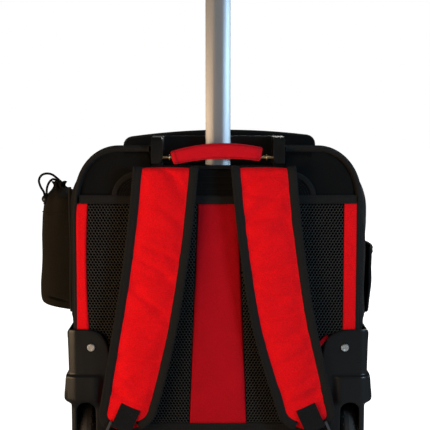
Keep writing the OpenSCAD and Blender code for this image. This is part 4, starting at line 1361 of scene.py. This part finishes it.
def build_phone_pocket():
    """Flat pouch on the right-hand side, with a bound stretch top."""
    lo, hi = node_box("phone_pocket")
    rows, cols = 36, 40
    outer, inner = np.zeros((rows, cols, 3)), np.zeros((rows, cols, 3))
    for i in range(rows):
        v = i / (rows - 1)
        z = lo[2] - 12 * MM + (hi[2] - lo[2]) * v
        for j in range(cols):
            u = j / (cols - 1)
            y = lo[1] + (hi[1] - lo[1]) * u
            across = math.sin(math.pi * (0.015 + 0.97 * u)) ** 0.13
            rise = across * (0.80 + 0.20 * smooth(v / 0.5)) * min(1.0, (v + 0.02) / 0.06) ** 0.6
            p = (0, y, z)
            x = lo[0] - 0.6 * MM + (hi[0] - lo[0] + 3.2 * MM + 0.9 * MM * ripple(p, 26 * MM, 4.0)) * rise
            outer[i, j] = (x, y, z)
            inner[i, j] = (x - 1.4 * MM, y, z)
    obj = make("phone_pocket_fabric", *closed_sheet(outer, inner), mat_black, None, "fabric_black")
    fix_normals(obj)
    settle(obj, "bag", ["phone_pocket"])
    top = outer[-1] + np.array([0.2 * MM, 0, -3.5 * MM])
    tape_run("phone_pocket_binding", top, 8 * MM, 1.0 * MM, (1, 0, 0), mat_binding, "binding_black", "bag")
    sides = []
    for j in (1, cols - 2):
        sides.append(stitches(outer[:, j] + np.array([0.5 * MM, 0, 0]), (1, 0, 0)))
    sides.append(stitches(outer[1] + np.array([0.5 * MM, 0, 0]), (1, 0, 0)))
    make("phone_pocket_stitching", *joined(sides), mat_thread, "bag", "fabric_black")


build_phone_pocket()


# ---------------------------------------------------------------- lid, its pocket and the zips
def pan(name, outer, inner, material, body, slot, replaces=()):
    """Shallow pan whose outer and inner rings both close at a centre point."""
    rows, cols = outer.shape[:2]
    n = rows * cols
    m = inner.shape[0]
    faces = grid_faces(rows, cols, wrap_cols=True) + grid_faces(m, cols, wrap_cols=True, flip=True, base=n)
    faces += [((j + 1) % cols, j, n + j, n + (j + 1) % cols) for j in range(cols)]
    verts = np.concatenate([outer.reshape(-1, 3), inner.reshape(-1, 3)])
    obj = make(name, verts, faces, material, None, slot)
    fix_normals(obj, join=True)
    return settle(obj, body, replaces)


def lid_ring(inset=0.0, y=0.0, count=RING):
    ring = corner_outline(lid_hi[0] - inset, lid_lo[2] + inset, LID_TOP - inset, 61 * MM - inset * 0.8,
                          66 * MM - inset, 16 * MM - inset * 0.5, count)
    return at_depth(ring, y)


def wrinkled(rings, seed, size, amount, keep_edge=0):
    """Pushes rings along y by smooth noise, except for the first rows."""
    for i in range(keep_edge, rings.shape[0]):
        for j in range(rings.shape[1]):
            p = rings[i, j]
            w = ripple(p, size, seed) + 0.4 * ripple(p, size * 0.45, seed + 3)
            rings[i, j] = p + np.array([0, w * amount, 0])
    return rings


def build_lid():
    y0, y1 = lid_lo[1] + 0.2 * MM, lid_hi[1]
    centre = np.array([0, 0, (lid_lo[2] + LID_TOP) / 2])
    ring = lid_ring()
    sides = [(1.0, y0), (1.004, y0 + 8 * MM), (1.006, y0 + 15 * MM), (1.004, y1 - 8 * MM),
             (0.998, y1 - 3.5 * MM),
             (0.988, y1 - 1.2 * MM), (0.975, y1 - 0.2 * MM)]
    face = [(f, y1 + 0.8 * MM * (1 - f)) for f in (0.94, 0.88, 0.8, 0.7, 0.6, 0.45, 0.3, 0.15, 0.0)]
    outer = scaled_rings(ring, centre, sides + face)
    outer = wrinkled(outer, 21.0, 60 * MM, 1.2 * MM, 3)
    outer[len(sides) + 1:, :, 1] = np.minimum(outer[len(sides) + 1:, :, 1], y1 - 0.1 * MM)
    inner_ring = lid_ring(4.5 * MM)
    inner = scaled_rings(inner_ring, centre, [(1.0, y0), (1.0, y1 - 8 * MM), (0.97, y1 - 5 * MM),
                                              (0.6, y1 - 4.6 * MM),
                                              (0.0, y1 - 4.6 * MM)])
    pan("lid_fabric", outer, inner, mat_black, "lid", "fabric_black", ["lid_panel"])
    edge = lid_ring(0.8 * MM, y1 - 1.4 * MM)
    make("lid_edge_piping", *sweep_data(edge, circle(2.1 * MM, 10), outline_frame(edge), closed=True),
         mat_binding, "lid", "binding_black")
    inner_edge = lid_ring(4.8 * MM, y0 + 3 * MM)
    make("lid_inner_binding",
         *sweep_data(inner_edge, tape(7 * MM, 0.9 * MM), -outline_frame(inner_edge), closed=True),
         mat_binding, "lid", "binding_black")


build_lid()


def zip_track(path, y_tape, y_teeth, lean):
    """Tape, coil teeth and stitching of one side of a zip along an outline path, each as (points, faces)."""
    out = outline_frame(path, closed=False)
    strip = path.copy()
    strip[:, 1] = y_tape
    tape_part = sweep_data(strip, tape(8.4 * MM, 0.8 * MM), out)
    thread = stitches(strip + out * 0.9 * MM + np.array([0, -lean * 2.6 * MM, 0]), (0, 0, 1))
    coil = path.copy()
    coil[:, 1] = y_teeth
    coil = resample(coil, 1.9 * MM)
    ups = outline_frame(coil, closed=False)
    teeth = []
    for p, u in zip(coil, ups):
        along = np.cross(u, (0, 1, 0))
        y = np.array([0, 1.0, 0])
        corners = [p + along * a * 0.62 * MM + y * b * 1.3 * MM + u * (0.3 + c * 1.5) * MM
                   for c in (0, 1) for a, b in ((-1, -1), (1, -1), (1, 1), (-1, 1))]
        corners[4:] = [q - (q - p) * 0.12 for q in corners[4:]]
        teeth.append((np.array(corners), [(0, 3, 2, 1), (4, 5, 6, 7), (0, 1, 5, 4), (1, 2, 6, 5),
                                          (2, 3, 7, 6),
                                          (3, 0, 4, 7)]))
    return tape_part, joined(teeth), thread


def build_main_zip():
    """The lid's zip: one track on the body and one on the lid, and the piping round the body's rim."""
    low = 92 * MM
    for tag, body, path, y_tape, y_teeth, lean in (
            ("body", "bag", shell_ring(RIM_Y - 1 * MM), RIM_Y - 5.4 * MM, RIM_Y - 1.4 * MM, 1),
            ("lid", "lid", lid_ring(), RIM_Y + 6.0 * MM, RIM_Y + 1.9 * MM, -1)):
        tape_part, teeth, thread = zip_track(part_above(path, low), y_tape, y_teeth, lean)
        make("zip_tape_" + tag, *tape_part, mat_binding, body, "zip_black", replaces=["main_zipper_" + tag])
        make("zip_teeth_" + tag, *teeth, mat_zip, body, "zip_black", smooth=False)
        make("zip_stitching_" + tag, *thread, mat_thread, body, "zip_black")
    welt = shell_ring(RIM_Y - 12 * MM, -0.6 * MM)
    make("rim_piping", *sweep_data(welt, circle(2.0 * MM, 10), outline_frame(welt), closed=True), mat_binding,
         "bag", "binding_black")


build_main_zip()


def pocket_ring(inset=0.0, y=0.0, count=RING):
    """Outline of the front pocket: bowed top, small top corners, larger bottom ones."""
    half, low, high = pocket_hi[0] - inset, pocket_lo[2] + inset, pocket_hi[2] - inset
    bow, r_top, r_low = 8 * MM, 12 * MM - inset * 0.8, 26 * MM - inset * 0.8
    top = [(u * (half - r_top), high - bow * u * u) for u in np.linspace(1, -1, 40)[1:-1]]
    pts = np.array(oval_arc(half - r_top, high - bow - r_top, r_top, r_top, 0, 84, 10) + top
                   + oval_arc(r_top - half, high - bow - r_top, r_top, r_top, 96, 180, 10)
                   + oval_arc(r_low - half, low + r_low, r_low, r_low, 180, 270, 12)
                   + oval_arc(half - r_low, low + r_low, r_low, r_low, 270, 360, 12))
    pts[:, 1] += pts[:, 0] * 0.010
    pts[:, 0] += 2.5 * MM
    return spaced(at_depth(pts, y), count)


def build_front_pocket():
    """Pillow-shaped pocket on the lid with piping at both edges of its wall and a zip across its face."""
    y0, y1 = pocket_lo[1], pocket_hi[1]
    ring = pocket_ring()
    centre = np.array([2.5 * MM, 0, (pocket_lo[2] + pocket_hi[2]) / 2 - 4 * MM])
    back = [(0.0, y0), (0.5, y0), (0.9, y0), (0.985, y0 + 0.3 * MM)]
    wall = [(1.0, y0 + 2 * MM), (1.003, y0 + 7 * MM), (1.004, y0 + 12 * MM), (1.0, y1 - 6 * MM),
            (0.992, y1 - 3.4 * MM),
            (0.978, y1 - 1.6 * MM)]
    face = [(f, y1 + 4.5 * MM * (1 - f * f) - 0.8 * MM) for f in
            (0.955, 0.92, 0.87, 0.81, 0.74, 0.66, 0.57, 0.47, 0.36, 0.24, 0.12, 0.0)]
    rings = scaled_rings(ring, centre, back + wall + face)
    first = len(back) + len(wall)
    for i in range(first, len(rings)):
        for j in range(RING):
            p = rings[i, j]
            z = p[2]
            w = 1.8 * ripple(p, 58 * MM, 14.0) + 0.8 * ripple(p, 24 * MM, 17.0)
            fold = abs(ripple((p[0] * 0.7, 0, z * 1.5), 48 * MM, 19.0))
            w -= 2.2 * max(0.0, 0.22 - fold) / 0.22
            w -= 2.4 * math.exp(-((z - ZIP_Z) / (3.2 * MM)) ** 2) * smooth((0.115 - abs(p[0])) / 0.01)
            rings[i, j, 1] += w * MM * min(1.0, (i - first + 1) / 4)
            flat = y1 - 2.2 * MM + 9 * MM * smooth((abs(z - ZIP_Z) / MM - 9) / 16)
            rings[i, j, 1] = min(rings[i, j, 1], flat)
    rows = len(rings)
    faces = grid_faces(rows, RING, wrap_cols=True)
    obj = make("front_pocket_fabric", rings.reshape(-1, 3), faces, mat_black, None,
               "fabric_black")
    fix_normals(obj, join=True)
    settle(obj, "lid", ["front_pocket"])
    pipes = []
    for inset, y in ((0.2, y0 + 1.6 * MM), (1.4, y1 - 3.0 * MM)):
        edge = pocket_ring(inset * MM, y)
        pipes.append(sweep_data(edge, circle(1.9 * MM, 10), outline_frame(edge), closed=True))
    make("front_pocket_piping", *joined(pipes), mat_binding, "lid", "binding_black")
    line = pocket_ring(0.0, y0 + 5.2 * MM)
    make("front_pocket_stitching",
         *stitches(line + outline_frame(line) * 0.7 * MM, (0, 1, 0), closed=True), mat_thread,
         "lid", "fabric_black")


SLIDER_LO, SLIDER_HI = node_box("pocket_slider")
ZIP_Z = SLIDER_HI[2] - 3 * MM


def build_pocket_zip():
    """Zip across the pocket's face: two tapes, coil teeth between them and a stop at each end."""
    y = pocket_hi[1] - 0.6 * MM
    x0, x1 = -114 * MM, 114 * MM
    tapes, threads = [], []
    for s in (-1, 1):
        path = resample([(x0, y, ZIP_Z + s * 5.2 * MM), (x1, y, ZIP_Z + s * 5.2 * MM)], 4 * MM)
        tapes.append(sweep_data(path, tape(8 * MM, 1.0 * MM), (0, 1, 0)))
        threads.append(stitches(path + np.array([0, 1.1 * MM, s * 2.6 * MM]), (0, 1, 0)))
    for x in (x0, x1):
        ends = [(x, y, ZIP_Z - 9 * MM), (x, y, ZIP_Z + 9 * MM)]
        tapes.append(sweep_data(ends, tape(7 * MM, 1.3 * MM), (0, 1, 0)))
    make("pocket_zip_tape", *joined(tapes), mat_binding, "lid", "zip_black")
    make("pocket_zip_stitching", *joined(threads), mat_thread, "lid", "zip_black")
    teeth = []
    for k, x in enumerate(np.arange(x0 + 4 * MM, x1 - 4 * MM, 1.0 * MM)):
        s = 1 if k % 2 else -1
        p = np.array([x, y + 0.2 * MM, ZIP_Z + s * 0.7 * MM])
        teeth.append(sweep_data([p - np.array([0, 0, 1.2 * MM]), p + np.array([0, 0, 1.2 * MM])],
                                np.array([(-0.4, -0.2), (0.4, -0.2), (0.4, 0.9), (-0.4, 0.9)]) * MM,
                                (0, 1, 0)))
    make("pocket_zip_teeth", *joined(teeth), mat_zip, "lid", "zip_black", smooth=False)


build_front_pocket()
build_pocket_zip()


def build_hinge_tape():
    """Fabric strip under the lid, curved round its hinge."""
    lo, hi = node_box("lid_hinge")
    path = curve_through([(0, RIM_Y - 9 * MM, BASE_Z - 1.0 * MM), (0, RIM_Y - 3 * MM, BASE_Z - 0.9 * MM),
                          (0, RIM_Y - 0.2 * MM, BASE_Z + 0.8 * MM), (0, RIM_Y + 0.5 * MM, lid_lo[2] - 2 * MM),
                          (0, RIM_Y + 1.4 * MM, lid_lo[2] - 0.9 * MM),
                          (0, RIM_Y + 8 * MM, lid_lo[2] - 0.8 * MM)],
                         1.0 * MM)
    n = len(path)
    cols = 90
    top, under = np.zeros((n, cols, 3)), np.zeros((n, cols, 3))
    for j, x in enumerate(np.linspace(lo[0], hi[0], cols)):
        lift = 0.25 * MM * ripple((x, 0, 0), 20 * MM, 3.0)
        top[:, j] = path + np.array([x, 0, lift])
        under[:, j] = path + np.array([x, 0, lift]) - np.array([0, -0.3 * MM, 0.8 * MM])
    obj = make("lid_hinge_tape", *closed_sheet(top, under), mat_binding, None, "binding_black")
    fix_normals(obj)
    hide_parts("lid_hinge")
    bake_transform(obj)


build_hinge_tape()


# ---------------------------------------------------------------- inside
def build_inside():
    """Shelf with its binding, lining of the back wall, and the foam seat for the ball."""
    lo, hi = node_box("shelf")
    ring = corner_outline(hi[0] - 1 * MM, lo[1] + 1 * MM, hi[1] - 1 * MM, 12 * MM, 12 * MM, 12 * MM, 200)
    mid = np.array([0, (lo[1] + hi[1]) / 2, 0])
    rings = []
    for share, z in ((0, lo[2]), (0.5, lo[2]), (0.97, lo[2]), (1, lo[2] + 0.8 * MM), (1, hi[2] - 0.8 * MM),
                     (0.985, hi[2]),
                     (0.9, hi[2] + 1.2 * MM), (0.7, hi[2] + 1.8 * MM),
                     (0.4, hi[2] + 2 * MM), (0, hi[2] + 2 * MM)):
        row = np.stack([ring[:, 0] * share, mid[1] + (ring[:, 1] - mid[1]) * share, np.full(200, z)], 1)
        rings.append(row)
    rings = np.array(rings)
    faces = grid_faces(len(rings), 200, wrap_cols=True)
    obj = make("shelf_pad", rings.reshape(-1, 3), faces, mat_lining, None, "lining")
    fix_normals(obj, join=True)
    settle(obj, "bag", ["shelf"])
    edge = np.stack([ring[:, 0], ring[:, 1], np.full(200, hi[2] - 0.2 * MM)], 1)
    edge_line = edge * np.array([0.985, 1, 1]) + np.array([0, 0.0, 0.6 * MM])
    parts = [sweep_data(edge_line, tape(9 * MM, 0.8 * MM), (0, 0, 1),
                        closed=True)]
    make("shelf_binding", *joined(parts), mat_binding, "bag", "lining")
    lo, hi = node_box("back_lining")
    rows, cols = 60, 60
    front, back = np.zeros((rows, cols, 3)), np.zeros((rows, cols, 3))
    for i in range(rows):
        z = HOUSE_STEP + 3 * MM + (tray_lo[2] - 3 * MM - HOUSE_STEP - 3 * MM) * i / (rows - 1)
        over = max(0.0, z - 0.343) / (0.052)
        half = 118.5 * MM + 51 * MM * math.sqrt(max(0.0, 1 - min(1.0, over) ** 2))
        for j in range(cols):
            x = -half + 2 * half * j / (cols - 1)
            y = hi[1] + (1.0 + 1.0 * ripple((x, 0, z), 50 * MM, 30.0)) * MM
            front[i, j] = (x, y, z)
            back[i, j] = (x, lo[1], z)
    obj = make("back_lining_cloth", *closed_sheet(front, back), mat_lining, "bag", "lining",
               replaces=["back_lining"])
    fix_normals(obj)
    moulded("ball_cup", 3.0 * MM, mat_foam, "bag", 3)


build_inside()

# ---------------------------------------------------------------- materials of the CAD nodes that stay
STAY = {
    mat_alu: ["pole_outer_tube"],
    mat_steel: ["push_rod", "lock_pin", "pole_springs", "axles", "wheel_bearings_left",
                "wheel_bearings_right"],
    mat_brass: ["handle_pins"],
    mat_plastic_grey: ["mid_tube_foot", "inner_tube_foot"],
    mat_board: ["back_board", "base_board"],
    mat_rubber: ["tyre_left", "tyre_right"],
    mat_plastic: ["cord_stopper"],
}
for material, names in STAY.items():
    for node_name in names:
        dressed(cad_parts[node_name].data, material)

for node_name, width, material, slot_name, body_name in (
        ("pole_mid_tube", 0.6 * MM, mat_alu, "aluminium", "pole_lower"),
        ("pole_inner_tube", 0.6 * MM, mat_alu, "aluminium", "pole_upper"),
        ("case_screws", 0.45 * MM, mat_steel, "steel", "bag"),
        ("handle_tray", 2.2 * MM, mat_plastic, "plastic_black", "bag"),
        ("wheel_core_left", 1.0 * MM, mat_plastic_grey, "plastic_grey", "wheel_left"),
        ("wheel_core_right", 1.0 * MM, mat_plastic_grey, "plastic_grey", "wheel_right"),
        ("front_stand", 2.0 * MM, mat_plastic, "plastic_black", "bag"),
        ("stand_pad", 1.5 * MM, mat_rubber, "rubber", "bag"),
        ("pole_bracket", 1.5 * MM, mat_plastic, "plastic_black", "bag"),
        ("pole_collar", 1.2 * MM, mat_plastic, "plastic_black", "pole_lower"),
        ("grip", 3.5 * MM, mat_plastic, "plastic_black", "pole_upper"),
        ("grip_button", 1.2 * MM, mat_plastic_grey, "plastic_grey", "button"),
        ("main_slider_left", 0.7 * MM, mat_plastic_grey, "plastic_grey", "slider_left"),
        ("main_slider_right", 0.7 * MM, mat_plastic_grey, "plastic_grey", "slider_right"),
        ("pocket_slider", 0.7 * MM, mat_plastic_grey, "plastic_grey", "slider_pocket")):
    moulded(node_name, width, material, body_name)


def round_housing(side):
    """A wheel housing with soft edges all round, and its lower half standing proud of the plate above."""
    node = "wheel_housing_" + hand(side)
    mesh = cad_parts[node].data.copy()
    mesh.name = node + "_moulded"
    obj = placed(mesh.name, dressed(mesh, mat_plastic))
    mod = obj.modifiers.new("even", "REMESH")
    mod.mode = "VOXEL"
    mod.voxel_size = 1.3 * MM
    mod = obj.modifiers.new("round", "SMOOTH")
    mod.factor = 0.5
    mod.iterations = 7
    apply_modifiers(obj)
    co = points_of(obj)
    back = house_lo[1]
    for p in co:
        face = smooth((back + 14 * MM - p[1]) / (10 * MM))
        x = abs(p[0])
        low = smooth((HOUSE_STEP - p[2]) / (3.5 * MM)) * smooth((p[2] - 96 * MM) / (12 * MM))
        inner = smooth((x - HOUSE_X0 - 9 * MM) / (13 * MM))
        turn = min(1.0, max(0.0, (x - HOUSE_EDGE + 11 * MM) / (11 * MM)))
        p[1] += face * MM * (4.2 * turn * turn - 3.2 * low * inner)
        if side > 0:
            inward = smooth((HOUSE_X0 + 34 * MM - x) / (30 * MM))
            p[0] -= 5.5 * MM * inward * smooth((p[2] - 0.125) / 0.03) * face
    move_points(obj, co)
    shade_smooth(obj.data)
    settle(obj, "bag", [node])


for housing_side in (-1, 1):
    round_housing(housing_side)


# The tail takes the darker red copy of the fabric: painted shade.
strip_tail = [(119 * MM, BACK_Y - 2.6 * MM, 168 * MM), (124 * MM, BACK_Y - 3.2 * MM, 176 * MM),
              (132 * MM, BACK_Y - 3.2 * MM, 184.5 * MM)]
make("side_strip_tail", *sweep_data(strip_tail, tape(5 * MM, 1.2 * MM), (0, -1, 0)), mat_red_shaded,
     "bag", "fabric_red")

# ---------------------------------------------------------------- stage, light, camera
FLOOR_GLOW = 0.97
WORLD_LIGHT = 0.12


def build_stage():
    """A wide pale floor under a white sky; the sky is white to the camera and dim as a light."""
    half, rows = 9.0, 24
    grid = np.linspace(-half, half, rows)
    verts = [(x, y, 0.0) for x in grid for y in grid]
    mesh = bpy.data.meshes.new("floor")
    mesh.from_pydata(verts, [], grid_faces(rows, rows))
    floor = placed("floor", mesh)
    look = Look("floor_pale", (0.45, 0.45, 0.45), 0.7)
    look.bsdf.inputs["Emission Color"].default_value = (1, 1, 1, 1)
    camera_ray = look.add("ShaderNodeLightPath").outputs["Is Camera Ray"]
    look.link(look.math("MULTIPLY", camera_ray, FLOOR_GLOW), look.bsdf.inputs["Emission Strength"])
    mesh.materials.append(look.done())
    world = bpy.data.worlds.new("studio")
    world.use_nodes = True
    tree = world.node_tree
    sky = tree.nodes["Background"]
    sky.inputs[0].default_value = (1.0, 1.0, 1.0, 1)
    path = tree.nodes.new("ShaderNodeLightPath")
    level = tree.nodes.new("ShaderNodeMapRange")
    level.inputs["To Min"].default_value = WORLD_LIGHT
    level.inputs["To Max"].default_value = 1.0
    tree.links.new(path.outputs["Is Camera Ray"], level.inputs["Value"])
    tree.links.new(level.outputs[0], sky.inputs[1])
    bpy.context.scene.world = world
    bpy.context.scene.view_settings.view_transform = "Standard"


def area_light(name, place, aim, size, power, colour):
    light = bpy.data.lights.new(name, "AREA")
    light.shape = "RECTANGLE"
    light.size, light.size_y = size
    light.energy = power
    light.color = colour
    obj = placed(name, light)
    obj.visible_camera = False
    obj.location = place
    obj.rotation_euler = (Vector(aim) - Vector(place)).to_track_quat("-Z", "Y").to_euler()


def build_camera():
    aim_z = 0.331
    distance = 1.3
    elevation = math.radians(6)
    aim = Vector((-0.0036, BACK_Y, aim_z))
    cam = bpy.data.cameras.new("camera")
    cam.sensor_width = 36
    cam.lens = 36 * distance / 0.514
    obj = placed("camera", cam)
    obj.location = aim + Vector((0, -distance * math.cos(elevation), distance * math.sin(elevation)))
    obj.rotation_euler = (aim - obj.location).to_track_quat("-Z", "Y").to_euler()
    bpy.context.scene.camera = obj


build_stage()
area_light("key_left", (-0.90, -0.80, 0.10), (-0.04, -0.2, 0.16), (1.0, 0.8), 20, (1.0, 0.70, 0.42))
area_light("fill_right", (0.80, -0.90, 0.56), (0, -0.1, 0.3), (0.26, 0.34), 8.5, (0.50, 0.76, 1.0))
area_light("soft_front", (0.9, 1.7, 1.3), (0, 0, 0.25), (1.6, 1.6), 42, (1.0, 0.98, 0.95))
build_camera()
